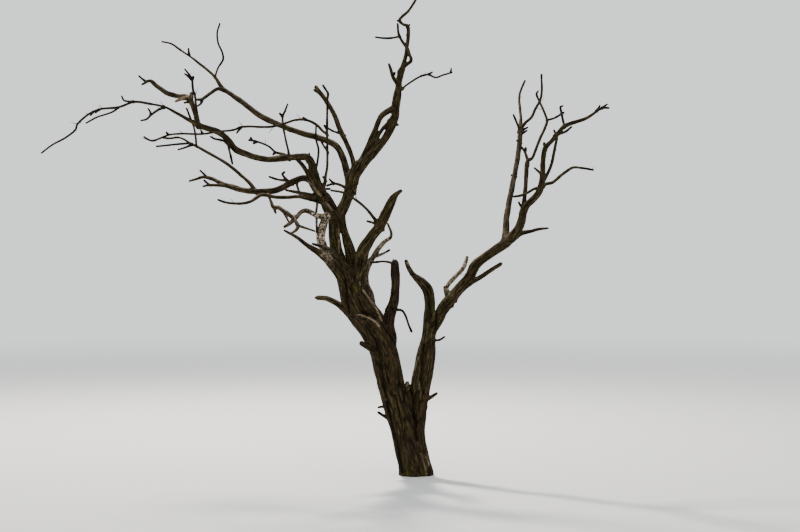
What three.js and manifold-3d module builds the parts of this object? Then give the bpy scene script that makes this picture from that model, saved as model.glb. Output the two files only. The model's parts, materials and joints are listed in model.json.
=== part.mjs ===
import * as THREE from 'three';
import { mergeVertices } from 'three/addons/utils/BufferGeometryUtils.js';
import Module from 'manifold-3d';

// A dead, leafless tree: two stems fused in one leaning trunk, broken boughs and bare twigs.
// Millimetres, +X to the right, +Y away from the onlooker, +Z up. The origin is the middle of
// the flat cut at ground level.

// The onlooker stands in front of the tree, at eye level. Every limb is read on the upright
// sheet through the trunk's foot, and depth pushes it along the onlooker's line of sight.
const EYE_DISTANCE = 12000;
const EYE_HEIGHT = 1672;
const EYE_ACROSS = -116;

// The glare of the sky eats into the width of a thin limb on the sheet, and a limb as thick as
// GLARE_GONE loses nothing.
const GLARE = 7.5;
const GLARE_GONE = 75;

// How the solids are made.
const GAP = 0.35; // between two pieces that touch
const RING_STEP = 20; // between two rings of a limb, before spare ones on straight runs go
const LONGEST_RUN = 300; // between two rings that stay
const BEND_LEFT_OUT = 1.6; // how far a spared ring may lie off its run
const BEND_SHARE = 0.12; // and the share of its radius that is added to that
const CUT_DEPTH = 400; // of the block that cuts the trunk flat at the ground
const SMALLEST_EDGE = 0.05;
const SPLINTER = 0.9; // of a broken end's radius, how far its splinters stand out

// A limb thicker than this has this many sides; the thinnest twigs have LEAST_SIDES.
const SIDES = [[150, 16], [80, 12], [40, 9], [24, 7], [12, 5]];
const LEAST_SIDES = 4;

// The foot's ribs: how many, where they start, how far up they run and how thick they are.
const RIB_COUNT = 7;
const RIB_SPREAD = 94;
const RIB_HEIGHT = 290;
const RIB_THICK = 74;
const RIB_SIDES = 8;
const RIB_SHARES = [-0.15, 0.1, 0.45, 1]; // of the height, where each rib has a ring
const RIB_GATHER = 0.48; // how much the ribs close in on the trunk's axis by their top
const RIB_TAPER = 0.5;
const RIB_UNEVEN = 0.35; // of the angle between two ribs
const RIB_SEED = 7;
const FOOT = new THREE.Vector3(5, 4, 0);
const FOOT_LEAN = -48; // how far the trunk's axis goes left over the ribs' height

// The seeded rule for the small sprigs along the twigs.
const SPRIG_SPACING = 240;
const SPRIG_LONGEST = 120;
const SPRIG_SHORTEST = 35;
const SPRIG_THICK = 7;
const SPRIG_SHARE = 1.3; // of its twig's radius, the thickest that a sprig gets
const SPRIG_TAPER = 0.6;
const SPRIG_ALONG = 0.7; // how much it leans along its twig
const SPRIG_RISE = 0.3; // how much it bends up
const SPRIG_SPREAD = 1.6; // radians, about the line towards or away from the onlooker
const SPRIG_CLEAR = 16; // kept from every other limb
const SPRIG_SIDES = 3;
const GOLDEN_ANGLE = THREE.MathUtils.degToRad(137.5);
const UP = new THREE.Vector3(0, 0, 1);

const BARK = {
  trunk: { color: 0x50463a, roughness: 0.93 },
  olive: { color: 0x4a4633, roughness: 0.92 },
  red: { color: 0x4b382f, roughness: 0.95 },
  lichen: { color: 0xa39a8d, roughness: 0.97 },
  twig: { color: 0x3e3932, roughness: 0.9 },
};

// The limbs, parents first. way holds the stations from root to tip, each [across, up, thick].
// lean is the depth gained from the root to the tip, even along the limb, where minus comes
// towards the onlooker; more than one value gives it at even shares of the length. parts names
// each solid and the station that it starts at. shoots are the twigs and stubs fused on, where
// off is the number of the shoot that one grows off, and near is how far one starts before the
// middle of its limb.
const limbs = {
  left: {
    bark: 'trunk', depth: 0,
    way: [[-8, -80, 214], [-20, 60, 212], [-55, 200, 206], [-100, 400, 196], [-160, 600, 208],
      [-205, 810, 224], [-252, 1000, 224], [-350, 1215, 232], [-440, 1330, 212],
      [-490, 1450, 204], [-512, 1580, 150], [-522, 1650, 70]],
    lean: [-60],
    parts: { trunk: 0, stem_left: 5 },
    shoots: [
      { way: [[-180, 430, 28], [-240, 470, 22], [-292, 503, 14]], lean: -20 },
      { way: [[-200, 530, 20], [-258, 546, 14], [-290, 541, 9]], lean: 10 },
      { way: [[-264, 920, 24], [-289, 957, 38], [-330, 990, 42], [-367, 1018, 42],
        [-425, 1054, 37]], lean: 0, near: 92 },
      { way: [[-340, 1050, 60], [-385, 1130, 80], [-440, 1205, 88], [-500, 1272, 76],
        [-545, 1312, 60]], lean: 0 },
    ],
  },
  right: {
    bark: 'trunk', depth: 15,
    way: [[64, -80, 182], [60, 20, 180], [46, 130, 156], [25, 320, 124], [30, 440, 132],
      [35, 560, 138], [48, 700, 156], [68, 810, 168], [94, 980, 148], [112, 1110, 108],
      [119, 1250, 94], [121, 1390, 84], [104, 1480, 88], [55, 1545, 76], [0, 1592, 50],
      [-45, 1655, 36], [-68, 1712, 26]],
    lean: [0, 60, 330],
    parts: { trunk: 0, stem_right: 7, bough_right_broken: 11 },
    broken: true,
    shoots: [
      { way: [[-20, 500, 100], [-38, 610, 90], [-52, 690, 60], [-60, 738, 26]], lean: 0 },
      { way: [[60, 590, 34], [105, 608, 30], [178, 653, 16]], lean: -20 },
      { way: [[130, 1078, 16], [200, 1081, 11], [241, 1106, 7]], lean: 15 },
    ],
  },
  stub: {
    on: 'left', bark: 'red',
    way: [[-180, 1030, 70], [-190, 1110, 98], [-206, 1200, 98], [-195, 1300, 94],
      [-162, 1400, 78], [-151, 1500, 70], [-152, 1600, 72], [-158, 1700, 60]],
    lean: [-170],
    parts: { bough_stub: 0 },
    broken: true,
  },
  centre: {
    on: 'left', bark: 'olive',
    way: [[-470, 1470, 130], [-446, 1600, 106], [-430, 1700, 104], [-405, 1800, 98],
      [-345, 1900, 88], [-275, 2000, 80], [-228, 2090, 76], [-180, 2195, 64], [-158, 2236, 38],
      [-110, 2275, 18]],
    lean: [-330],
    parts: { bough_centre: 0 },
    shoots: [{ way: [[-300, 2000, 22], [-340, 2020, 13], [-380, 2031, 8]], lean: -40 }],
  },
  back: {
    on: 'left', bark: 'olive',
    way: [[-335, 1280, 66], [-350, 1420, 60], [-392, 1540, 56], [-386, 1625, 48],
      [-345, 1720, 42], [-300, 1795, 38], [-235, 1870, 32], [-192, 1900, 24], [-186, 1935, 18],
      [-215, 2012, 12]],
    lean: [150, 260],
    parts: { bough_back: 0 },
    shoots: [{ way: [[-330, 1740, 24], [-250, 1772, 14], [-200, 1800, 9]], lean: 40 }],
  },
  leader: {
    on: 'left', bark: 'olive',
    way: [[-515, 1430, 150], [-562, 1570, 122], [-597, 1700, 106], [-630, 1810, 92],
      [-644, 1930, 90], [-634, 2030, 96], [-588, 2110, 96], [-542, 2200, 90],
      [-508, 2300, 100], [-482, 2395, 98], [-436, 2480, 98]],
    lean: [60, 210],
    parts: { leader: 0 },
    shoots: [
      { way: [[-476, 1660, 88], [-506, 1755, 90], [-530, 1850, 80], [-554, 1930, 60],
        [-568, 2000, 46], [-572, 2060, 40], [-576, 2120, 30]], lean: 60 },
    ],
  },
  top: {
    on: 'leader', bark: 'olive',
    way: [[-455, 2445, 90], [-390, 2515, 80], [-315, 2592, 68], [-243, 2680, 60],
      [-192, 2770, 62], [-160, 2850, 58], [-152, 2940, 66], [-137, 3030, 62], [-130, 3110, 46],
      [-117, 3190, 48], [-98, 3250, 44]],
    lean: [170],
    parts: { leader_top: 0 },
    shoots: [
      { way: [[-440, 2470, 60], [-382, 2600, 46], [-340, 2700, 42], [-310, 2767, 40],
        [-285, 2833, 40], [-262, 2874, 42], [-225, 2902, 44], [-165, 2938, 48]], lean: 100 },
      { way: [[-335, 2610, 28], [-300, 2690, 26], [-261, 2762, 26], [-214, 2815, 24],
        [-178, 2870, 20]], lean: 60 },
      { way: [[-165, 2815, 34], [-132, 2800, 14]], lean: -10 },
      { way: [[-132, 3130, 34], [-170, 3180, 26], [-190, 3245, 22], [-205, 3287, 15]], lean: -60 },
      { way: [[-178, 3196, 12], [-158, 3216, 6]], lean: 0, off: 3 },
    ],
  },
  crown: {
    on: 'top', bark: 'twig',
    way: [[-102, 3236, 42], [-86, 3290, 36], [-72, 3350, 28], [-60, 3420, 27], [-49, 3550, 26],
      [-56, 3592, 23], [-95, 3606, 18], [-122, 3636, 18], [-50, 3712, 17], [8, 3800, 15],
      [48, 3880, 11], [70, 3935, 6]],
    lean: [160],
    parts: { twigs_top: 0 },
    shoots: [
      { way: [[-105, 3250, 30], [-60, 3285, 24], [-28, 3318, 24], [-42, 3370, 20],
        [-64, 3425, 22], [-98, 3468, 18], [-126, 3525, 16], [-135, 3610, 8]], lean: 40 },
      { way: [[-122, 3508, 12], [-180, 3496, 10], [-250, 3495, 8], [-312, 3503, 5]],
        lean: -70, off: 0 },
      { way: [[-118, 3632, 16], [-138, 3634, 8]], lean: 0 },
      { way: [[-54, 3588, 14], [-38, 3603, 6]], lean: 0 },
    ],
  },
  leaderRight: {
    on: 'top', bark: 'twig',
    way: [[-128, 3060, 16], [-75, 3110, 12], [0, 3163, 11], [60, 3194, 10], [110, 3202, 8],
      [170, 3180, 6], [230, 3200, 5], [300, 3220, 4]],
    lean: [120, 320],
    parts: { twigs_leader_right: 0 },
    shoots: [
      { way: [[110, 3203, 6], [143, 3223, 4]], lean: 15 },
      { way: [[290, 3220, 4], [294, 3252, 3]], lean: 10 },
    ],
  },
  leaderLeft: {
    on: 'leader', bark: 'twig',
    way: [[-530, 2285, 24], [-590, 2318, 17], [-640, 2330, 15], [-700, 2316, 10]],
    lean: [-60],
    parts: { twigs_leader_left: 0 },
    shoots: [{ way: [[-640, 2326, 9], [-660, 2345, 8], [-682, 2368, 5]], lean: 20 }],
  },
  high: {
    on: 'leader', bark: 'olive',
    way: [[-478, 2400, 60], [-491, 2512, 38], [-538, 2640, 36], [-596, 2763, 36],
      [-646, 2891, 34], [-712, 3000, 34], [-765, 3072, 32], [-789, 3106, 26]],
    lean: [420],
    parts: { bough_broken_high: 0 },
    broken: true,
    shoots: [
      { way: [[-582, 2728, 16], [-660, 2755, 10], [-721, 2796, 6]], lean: 50 },
      { way: [[-752, 3052, 24], [-784, 3070, 20], [-803, 3080, 14]], lean: -10 },
    ],
  },
  farLeft: {
    on: 'leader', bark: 'olive',
    way: [[-510, 2330, 84], [-545, 2440, 58], [-578, 2545, 52], [-628, 2632, 50],
      [-710, 2678, 48], [-895, 2733, 44], [-1040, 2783, 44], [-1250, 2884, 42],
      [-1330, 2945, 40], [-1450, 3035, 36], [-1534, 3092, 32], [-1600, 3188, 19],
      [-1720, 3290, 15], [-1800, 3352, 12], [-1880, 3405, 9], [-1945, 3450, 7],
      [-2020, 3467, 5]],
    lean: [1290],
    parts: { bough_back_rise: 0, bough_back_reach: 3, twigs_back_tip: 10 },
    shoots: [
      { way: [[-1803, 3354, 8], [-1808, 3412, 5]], lean: 0 },
      { way: [[-1597, 3182, 12], [-1572, 3255, 9], [-1532, 3325, 8], [-1535, 3370, 7],
        [-1572, 3460, 6], [-1578, 3540, 5], [-1558, 3612, 4]], lean: -220 },
    ],
  },
  farLeftSide: {
    on: 'farLeft', bark: 'olive',
    way: [[-1510, 3072, 32], [-1575, 3088, 24], [-1640, 3048, 23], [-1700, 3006, 22],
      [-1748, 3003, 15]],
    lean: [-260],
    parts: { twigs_back_side: 0 },
    shoots: [{ way: [[-1700, 2998, 8], [-1712, 2968, 6], [-1765, 2938, 4]], lean: -30 }],
  },
  front: {
    on: 'leader', bark: 'olive',
    way: [[-612, 2010, 104], [-668, 2120, 108], [-712, 2205, 104], [-756, 2270, 94],
      [-786, 2340, 82], [-804, 2410, 76], [-825, 2490, 66], [-865, 2540, 58],
      [-930, 2542, 52], [-1000, 2540, 50],
      [-1200, 2527, 46], [-1330, 2562, 48], [-1430, 2605, 50], [-1490, 2680, 48],
      [-1560, 2738, 46], [-1720, 2797, 44], [-1800, 2838, 28], [-1900, 2893, 20],
      [-2000, 2945, 15], [-2120, 2970, 12], [-2240, 2985, 11], [-2370, 2942, 10],
      [-2520, 2925, 9], [-2620, 2878, 9], [-2700, 2800, 8], [-2710, 2765, 8],
      [-2790, 2700, 7], [-2900, 2640, 6], [-2985, 2575, 4]],
    lean: [-420, -920, -1260, -1400],
    parts: {
      bough_front_rise: 0,
      bough_front_reach: 7,
      bough_front_end: 12,
      twigs_front_tip: 16,
    },
    shoots: [
      { way: [[-852, 2530, 20], [-842, 2572, 8]], lean: 0 },
      { way: [[-690, 2140, 30], [-790, 2262, 28], [-836, 2345, 32], [-854, 2410, 32],
        [-895, 2478, 31], [-930, 2514, 26], [-956, 2538, 18]], lean: -235 },
      { way: [[-795, 2430, 22], [-781, 2480, 11], [-768, 2600, 9], [-788, 2690, 8],
        [-788, 2790, 5]], lean: 20 },
      { way: [[-765, 2235, 34], [-805, 2238, 29], [-870, 2248, 26], [-940, 2262, 22],
        [-1028, 2279, 11]], lean: -110 },
      { way: [[-765, 2284, 20], [-700, 2288, 13], [-676, 2288, 8]], lean: -40 },
      { way: [[-2245, 2985, 8], [-2325, 2998, 6], [-2342, 3032, 4]], lean: 40 },
      { way: [[-2370, 2942, 7], [-2410, 2908, 6], [-2540, 2862, 5], [-2628, 2815, 4]], lean: 90 },
      { way: [[-2520, 2925, 5], [-2552, 2898, 4]], lean: -15 },
      { way: [[-2568, 2908, 5], [-2592, 2876, 4]], lean: 15 },
      { way: [[-2000, 2945, 13], [-2060, 2915, 11], [-2110, 2878, 9], [-2145, 2845, 7],
        [-2188, 2836, 5]], lean: 130 },
      { way: [[-2108, 2878, 7], [-2114, 2905, 6], [-2132, 2932, 4]], lean: 10, off: 9 },
    ],
  },
  frontUpright: {
    on: 'front', bark: 'olive',
    way: [[-1735, 2795, 48], [-1748, 2870, 38], [-1768, 2935, 34], [-1789, 2995, 36],
      [-1830, 3026, 34], [-1880, 3030, 34], [-1920, 3037, 38], [-2000, 3066, 37],
      [-2062, 3113, 32], [-2112, 3152, 24], [-2150, 3150, 15], [-2172, 3165, 10],
      [-2205, 3192, 6]],
    lean: [180, 420],
    parts: { bough_front_upright: 0, twigs_front_upright: 9 },
    shoots: [
      { way: [[-1800, 3010, 30], [-1845, 3012, 26], [-1880, 3002, 18], [-1910, 2989, 13]], lean: -45 },
      { way: [[-1788, 2992, 32], [-1785, 3030, 30], [-1781, 3052, 26]], lean: -10 },
      { way: [[-1790, 2990, 10], [-1842, 2977, 5]], lean: 30 },
      { way: [[-2128, 3150, 12], [-2180, 3124, 7]], lean: -30 },
    ],
  },
  frontRod: {
    on: 'front', bark: 'twig',
    way: [[-1722, 2797, 24], [-1737, 2880, 16], [-1747, 2950, 12], [-1753, 3000, 12],
      [-1756, 3035, 14], [-1770, 3075, 11], [-1776, 3120, 11], [-1780, 3165, 11],
      [-1800, 3200, 9], [-1822, 3228, 6], [-1838, 3247, 4]],
    lean: [-90],
    parts: { twigs_front_rod: 0 },
    shoots: [
      { way: [[-1781, 3165, 9], [-1769, 3185, 8]], lean: 5 },
      { way: [[-1782, 3168, 9], [-1812, 3191, 8], [-1838, 3210, 5]], lean: 20 },
    ],
  },
  frontFork: {
    on: 'front', bark: 'twig',
    way: [[-1002, 2535, 26], [-1010, 2595, 14], [-1030, 2682, 12], [-1048, 2772, 12],
      [-1054, 2866, 12], [-1035, 2915, 8], [-1014, 2968, 4]],
    lean: [-120],
    parts: { twigs_front_fork: 0 },
    shoots: [{ way: [[-1054, 2868, 9], [-1078, 2893, 7]], lean: -10 }],
  },
  frontMid: {
    on: 'front', bark: 'twig',
    way: [[-985, 2540, 26], [-1050, 2566, 18], [-1110, 2582, 14], [-1165, 2628, 12],
      [-1210, 2650, 12], [-1265, 2668, 12], [-1325, 2680, 9]],
    lean: [150],
    parts: { twigs_front_mid: 0 },
    shoots: [
      { way: [[-1112, 2585, 9], [-1132, 2563, 6]], lean: -10 },
      { way: [[-1265, 2668, 9], [-1288, 2652, 6]], lean: 10 },
      { way: [[-1303, 2677, 7], [-1310, 2700, 5]], lean: 0 },
    ],
  },
  frontHanging: {
    on: 'front', bark: 'twig',
    way: [[-1495, 2684, 24], [-1488, 2630, 15], [-1470, 2550, 13], [-1456, 2488, 7]],
    lean: [-40],
    parts: { twigs_front_hanging: 0 },
    shoots: [
      { way: [[-1489, 2634, 13], [-1525, 2672, 10], [-1600, 2690, 8], [-1632, 2707, 5]],
        lean: 50 },
    ],
  },
  rod: {
    on: 'front', bark: 'twig',
    way: [[-760, 2262, 34], [-722, 2320, 24], [-712, 2390, 20], [-700, 2450, 16],
      [-697, 2600, 15], [-700, 2750, 16], [-698, 2900, 14], [-697, 3000, 14], [-693, 3052, 17],
      [-711, 3084, 12], [-733, 3118, 8]],
    lean: [-200],
    parts: { bough_rod: 0 },
    shoots: [
      { way: [[-716, 2366, 16], [-733, 2386, 8]], lean: -10 },
      { way: [[-700, 2596, 14], [-728, 2635, 13], [-757, 2694, 9]], lean: -40 },
      { way: [[-698, 2770, 12], [-724, 2797, 6]], lean: 10 },
    ],
  },
  level: {
    on: 'rod', bark: 'twig',
    way: [[-699, 2725, 18], [-735, 2752, 18], [-775, 2795, 18], [-830, 2828, 17],
      [-885, 2843, 16], [-960, 2838, 15], [-1040, 2812, 14], [-1150, 2786, 14],
      [-1385, 2784, 14], [-1440, 2762, 13], [-1560, 2748, 12], [-1700, 2728, 12],
      [-1850, 2730, 12], [-1960, 2722, 11], [-2095, 2674, 10], [-2135, 2686, 8],
      [-2165, 2706, 5]],
    lean: [100, 340],
    parts: { twigs_level: 0 },
    shoots: [
      { way: [[-1390, 2782, 9], [-1422, 2735, 5]], lean: -15 },
      { way: [[-1695, 2728, 7], [-1708, 2757, 4]], lean: 10 },
      { way: [[-870, 2840, 9], [-892, 2860, 5]], lean: 10 },
      { way: [[-1970, 2720, 6], [-1985, 2742, 4]], lean: -10 },
    ],
  },
  low: {
    on: 'front', bark: 'olive',
    way: [[-765, 2262, 56], [-815, 2335, 52], [-880, 2376, 52], [-950, 2357, 50],
      [-1050, 2302, 50], [-1120, 2277, 49], [-1250, 2268, 46], [-1390, 2283, 43],
      [-1480, 2310, 38], [-1560, 2340, 31], [-1630, 2374, 26], [-1690, 2384, 21],
      [-1750, 2366, 16], [-1800, 2352, 11]],
    lean: [140, 520],
    parts: { bough_low: 0, twigs_low_tip: 8 },
    shoots: [
      { way: [[-940, 2345, 20], [-940, 2318, 16], [-927, 2278, 14], [-915, 2234, 11]], lean: -30 },
      { way: [[-1490, 2312, 24], [-1590, 2318, 20], [-1645, 2320, 17], [-1690, 2309, 10]], lean: 60 },
      { way: [[-1640, 2320, 15], [-1666, 2342, 12], [-1684, 2358, 7]], lean: -20, off: 1 },
      { way: [[-1655, 2380, 11], [-1690, 2412, 8], [-1716, 2437, 5]], lean: 15 },
    ],
  },
  lowCurl: {
    on: 'low', bark: 'twig',
    way: [[-980, 2328, 24], [-1002, 2346, 18], [-1040, 2354, 15], [-1095, 2364, 13],
      [-1162, 2386, 8]],
    lean: [-80],
    parts: { twigs_low_curl: 0 },
    shoots: [{ way: [[-1004, 2347, 16], [-1038, 2378, 14], [-1057, 2406, 12], [-1040, 2425, 8]], lean: -30 }],
  },
  lowRise: {
    on: 'low', bark: 'olive',
    way: [[-1270, 2264, 36], [-1310, 2325, 26], [-1390, 2400, 24], [-1500, 2490, 22],
      [-1640, 2572, 20], [-1740, 2628, 18], [-1790, 2652, 14], [-1850, 2688, 11],
      [-1890, 2700, 10], [-1950, 2694, 9], [-2012, 2697, 6]],
    lean: [200, 480],
    parts: { bough_low_rise: 0, twigs_low_rise: 5 },
    shoots: [
      { way: [[-1795, 2654, 11], [-1850, 2650, 9], [-1950, 2641, 8], [-2066, 2628, 5]], lean: 60 },
      { way: [[-1775, 2646, 10], [-1830, 2622, 7], [-1892, 2602, 4]], lean: -60 },
      { way: [[-1745, 2632, 12], [-1752, 2715, 11], [-1772, 2805, 10], [-1798, 2868, 8],
        [-1812, 2905, 7], [-1826, 2936, 4]], lean: -80 },
    ],
  },
  lowFront: {
    on: 'front', bark: 'twig',
    way: [[-735, 2180, 40], [-790, 2196, 30], [-870, 2214, 27], [-925, 2228, 26],
      [-1010, 2222, 25], [-1100, 2222, 25], [-1180, 2238, 25], [-1230, 2240, 25],
      [-1272, 2212, 24], [-1320, 2184, 22], [-1400, 2172, 18], [-1500, 2178, 14], [-1572, 2202, 8]],
    lean: [-300, -640],
    parts: { twigs_low_front: 0 },
    shoots: [
      { way: [[-775, 2192, 18], [-784, 2120, 15], [-783, 2030, 14], [-781, 1940, 9]], lean: -170 },
    ],
  },
  hanging: {
    on: 'lowFront', bark: 'twig',
    way: [[-1165, 2234, 20], [-1150, 2190, 17], [-1128, 2142, 25], [-1092, 2140, 31],
      [-1045, 2112, 32], [-998, 2078, 31], [-960, 2042, 28], [-932, 1992, 25], [-950, 1958, 22],
      [-980, 1938, 14]],
    lean: [-60],
    parts: { twigs_hanging: 0 },
    shoots: [
      { way: [[-1126, 2138, 20], [-1110, 2096, 14]], lean: -10 },
      { way: [[-1060, 2120, 18], [-1035, 2080, 15], [-1008, 2030, 11]], lean: -40 },
      { way: [[-936, 1998, 18], [-890, 1982, 17], [-798, 1951, 12]], lean: 60 },
    ],
  },
  hangingLow: {
    on: 'left', bark: 'olive',
    way: [[-540, 1520, 110], [-620, 1640, 92], [-692, 1722, 76], [-770, 1782, 54],
      [-850, 1832, 36], [-940, 1900, 26], [-1040, 1957, 14]],
    lean: [-420],
    parts: { bough_hanging: 0 },
  },
  lichen: {
    on: 'hangingLow', bark: 'lichen',
    way: [[-685, 1722, 68], [-722, 1800, 68], [-746, 1880, 70], [-746, 1950, 70],
      [-722, 2030, 64], [-704, 2084, 44]],
    lean: [20],
    parts: { bough_lichen: 0 },
  },
  lichenTip: {
    on: 'lichen', bark: 'lichen',
    way: [[-706, 2068, 42], [-770, 2072, 42], [-825, 2098, 38], [-872, 2114, 34],
      [-905, 2104, 32], [-942, 2064, 32], [-1000, 2012, 30], [-1040, 1986, 20]],
    lean: [-70, -200],
    parts: { twigs_lichen_tip: 0 },
  },
  crotch: {
    on: 'centre', bark: 'twig',
    way: [[-465, 1610, 28], [-528, 1660, 26], [-570, 1697, 27], [-630, 1758, 29],
      [-692, 1810, 28], [-750, 1832, 23], [-815, 1850, 14]],
    lean: [-110, -170],
    parts: { twigs_crotch: 0 },
  },
  stemLeft: {
    on: 'left', bark: 'olive',
    way: [[-520, 1300, 64], [-600, 1357, 52], [-650, 1388, 44], [-700, 1412, 38], [-780, 1420, 33]],
    lean: [-80],
    parts: { bough_stem_left: 0 },
    broken: true,
  },
  centreTwig: {
    on: 'centre', bark: 'twig',
    way: [[-292, 2015, 34], [-325, 2056, 22], [-390, 2134, 18], [-490, 2214, 16],
      [-560, 2256, 14], [-668, 2277, 13]],
    lean: [-90],
    parts: { twigs_centre: 0 },
  },
  stubLeft: {
    on: 'stub', bark: 'red',
    way: [[-156, 1690, 20], [-235, 1708, 13], [-350, 1699, 8]],
    lean: [190],
    parts: { twigs_stub_left: 0 },
  },
  stubRight: {
    on: 'stub', bark: 'twig',
    way: [[-180, 1322, 20], [-100, 1315, 15], [-72, 1275, 14], [-48, 1205, 13],
      [-22, 1145, 8]],
    lean: [-110],
    parts: { twigs_stub_right: 0 },
  },
  farRight: {
    on: 'right', bark: 'olive',
    way: [[122, 1100, 60], [160, 1195, 90], [228, 1330, 102], [350, 1480, 88],
      [430, 1568, 86], [480, 1668, 84], [560, 1740, 76], [762, 1886, 80], [835, 1980, 72],
      [868, 2090, 62], [900, 2155, 58], [1000, 2270, 52], [1024, 2370, 46],
      [1028, 2520, 40], [1050, 2622, 38], [1098, 2674, 32], [1145, 2732, 34], [1195, 2786, 32],
      [1380, 2858, 22], [1500, 2934, 12], [1556, 2936, 6]],
    lean: [-110, -360, -880, -1330],
    parts: {
      bough_right: 0,
      bough_right_front: 8,
      bough_right_front_end: 14,
      twigs_right_front: 17,
    },
    shoots: [
      { way: [[282, 1395, 36], [252, 1455, 28], [240, 1503, 18]], lean: 30 },
      { way: [[790, 1900, 60], [850, 1932, 40], [930, 1950, 24], [990, 1966, 20],
        [1066, 1974, 13]], lean: 120 },
      { way: [[872, 2130, 20], [850, 2152, 14], [833, 2183, 8]], lean: 20 },
      { way: [[1024, 2390, 20], [990, 2430, 11], [960, 2457, 6]], lean: -30 },
      { way: [[1044, 2615, 22], [1036, 2658, 9]], lean: 0 },
      { way: [[1150, 2728, 20], [1205, 2745, 14], [1256, 2785, 7]], lean: -40 },
      { way: [[1200, 2786, 16], [1185, 2850, 12], [1174, 2905, 10], [1168, 2945, 9],
        [1187, 2952, 5]], lean: 60 },
      { way: [[1496, 2932, 8], [1540, 2966, 4]], lean: 20 },
      { way: [[1452, 2904, 10], [1470, 2932, 7], [1483, 2955, 5]], lean: -10 },
    ],
  },
  rightStub: {
    on: 'farRight', bark: 'olive',
    way: [[405, 1520, 60], [520, 1578, 36], [600, 1632, 32], [690, 1688, 27]],
    lean: [-150],
    parts: { bough_right_stub: 0 },
    broken: true,
  },
  rightPale: {
    on: 'farRight', bark: 'lichen',
    way: [[305, 1425, 34], [258, 1490, 30], [313, 1575, 32], [384, 1646, 32], [412, 1705, 27],
      [422, 1745, 18]],
    lean: [70, 150],
    parts: { twigs_right_pale: 0 },
  },
  rightBack: {
    on: 'farRight', bark: 'olive',
    way: [[728, 1872, 70], [733, 1960, 54], [735, 2050, 48], [770, 2250, 42],
      [790, 2350, 40], [826, 2540, 36], [848, 2740, 38], [850, 2800, 30], [851, 2860, 20],
      [839, 3030, 13], [860, 3100, 11], [884, 3156, 6]],
    lean: [1250],
    parts: { bough_right_back: 0, twigs_right_back: 7 },
    shoots: [
      { way: [[846, 2745, 16], [812, 2835, 12], [791, 2882, 6]], lean: 30 },
      { way: [[846, 2720, 12], [900, 2756, 6]], lean: -15 },
      { way: [[850, 2752, 10], [905, 2780, 5]], lean: 20 },
      { way: [[800, 2390, 14], [774, 2399, 9]], lean: 0 },
      { way: [[843, 2662, 14], [818, 2675, 8]], lean: 0 },
    ],
  },
  rightBackSide: {
    on: 'rightBack', bark: 'twig',
    way: [[850, 2772, 28], [888, 2818, 20], [935, 2862, 19], [965, 2922, 17], [1000, 2988, 17],
      [1014, 3030, 15], [1019, 3110, 14], [1015, 3204, 9]],
    lean: [160],
    parts: { twigs_right_back_side: 0 },
  },
  rightMid: {
    on: 'farRight', bark: 'olive',
    way: [[862, 2095, 50], [877, 2190, 33], [895, 2400, 31], [905, 2512, 26], [940, 2534, 20],
      [965, 2590, 19], [1008, 2700, 18], [1045, 2780, 17], [1060, 2838, 16],
      [1035, 2910, 14], [1000, 2986, 13], [976, 3050, 10], [990, 3072, 5]],
    lean: [180, 480],
    parts: { bough_right_mid: 0, twigs_right_mid: 3 },
    shoots: [
      { way: [[907, 2512, 20], [880, 2590, 15], [848, 2630, 8]], lean: 60 },
      { way: [[1058, 2838, 13], [1120, 2856, 12], [1195, 2902, 6]], lean: -90 },
      { way: [[883, 2588, 9], [891, 2618, 6]], lean: 5, off: 0 },
    ],
  },
  rightCross: {
    on: 'farRight', bark: 'twig',
    way: [[1010, 2300, 26], [960, 2290, 18], [900, 2256, 17], [850, 2236, 16], [792, 2227, 8]],
    lean: [110],
    parts: { twigs_right_cross: 0 },
  },
  rightInner: {
    on: 'farRight', bark: 'twig',
    way: [[1018, 2325, 28], [1058, 2400, 22], [1092, 2475, 20], [1112, 2560, 20],
      [1130, 2650, 18], [1140, 2700, 14], [1116, 2758, 7]],
    lean: [-40, -170],
    parts: { twigs_right_inner: 0 },
  },
  rightLow: {
    on: 'farRight', bark: 'twig',
    way: [[1012, 2310, 34], [1060, 2330, 24], [1100, 2338, 22], [1155, 2382, 20],
      [1210, 2425, 19], [1270, 2460, 17], [1340, 2456, 13], [1430, 2440, 7]],
    lean: [420],
    parts: { twigs_right_low: 0 },
  },
};

const wasm = await Module();
wasm.setup();

// Numbers from 0 to 1, the same for the same seed.
function seeded(seed) {
  let state = seed;
  return () => {
    state = (state * 1664525 + 1013904223) % 4294967296;
    return state / 4294967296;
  };
}

// The place of a point of the upright sheet that is pushed to a depth.
function at(across, up, depth) {
  const reach = (EYE_DISTANCE + depth) / EYE_DISTANCE;
  return new THREE.Vector3(
    EYE_ACROSS + (across - EYE_ACROSS) * reach,
    depth,
    EYE_HEIGHT + (up - EYE_HEIGHT) * reach,
  );
}

// The value at a share of an even list, starting from 0.
function evenly(values, share) {
  const steps = [0, ...values];
  const place = share * (steps.length - 1);
  const before = Math.min(Math.floor(place), steps.length - 2);
  return steps[before] + (steps[before + 1] - steps[before]) * (place - before);
}

// Gives each ring its direction along the limb and two directions across it, which turn as
// little as they can from ring to ring.
function squared(rings, start) {
  let side = start;
  rings.forEach((ring, i) => {
    const before = rings[Math.max(i - 1, 0)].centre;
    const after = rings[Math.min(i + 1, rings.length - 1)].centre;
    ring.along = after.clone().sub(before).normalize();
    side = side.clone().addScaledVector(ring.along, -side.dot(ring.along)).normalize();
    ring.side = side;
    ring.over = ring.along.clone().cross(side);
  });
  return rings;
}

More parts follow.
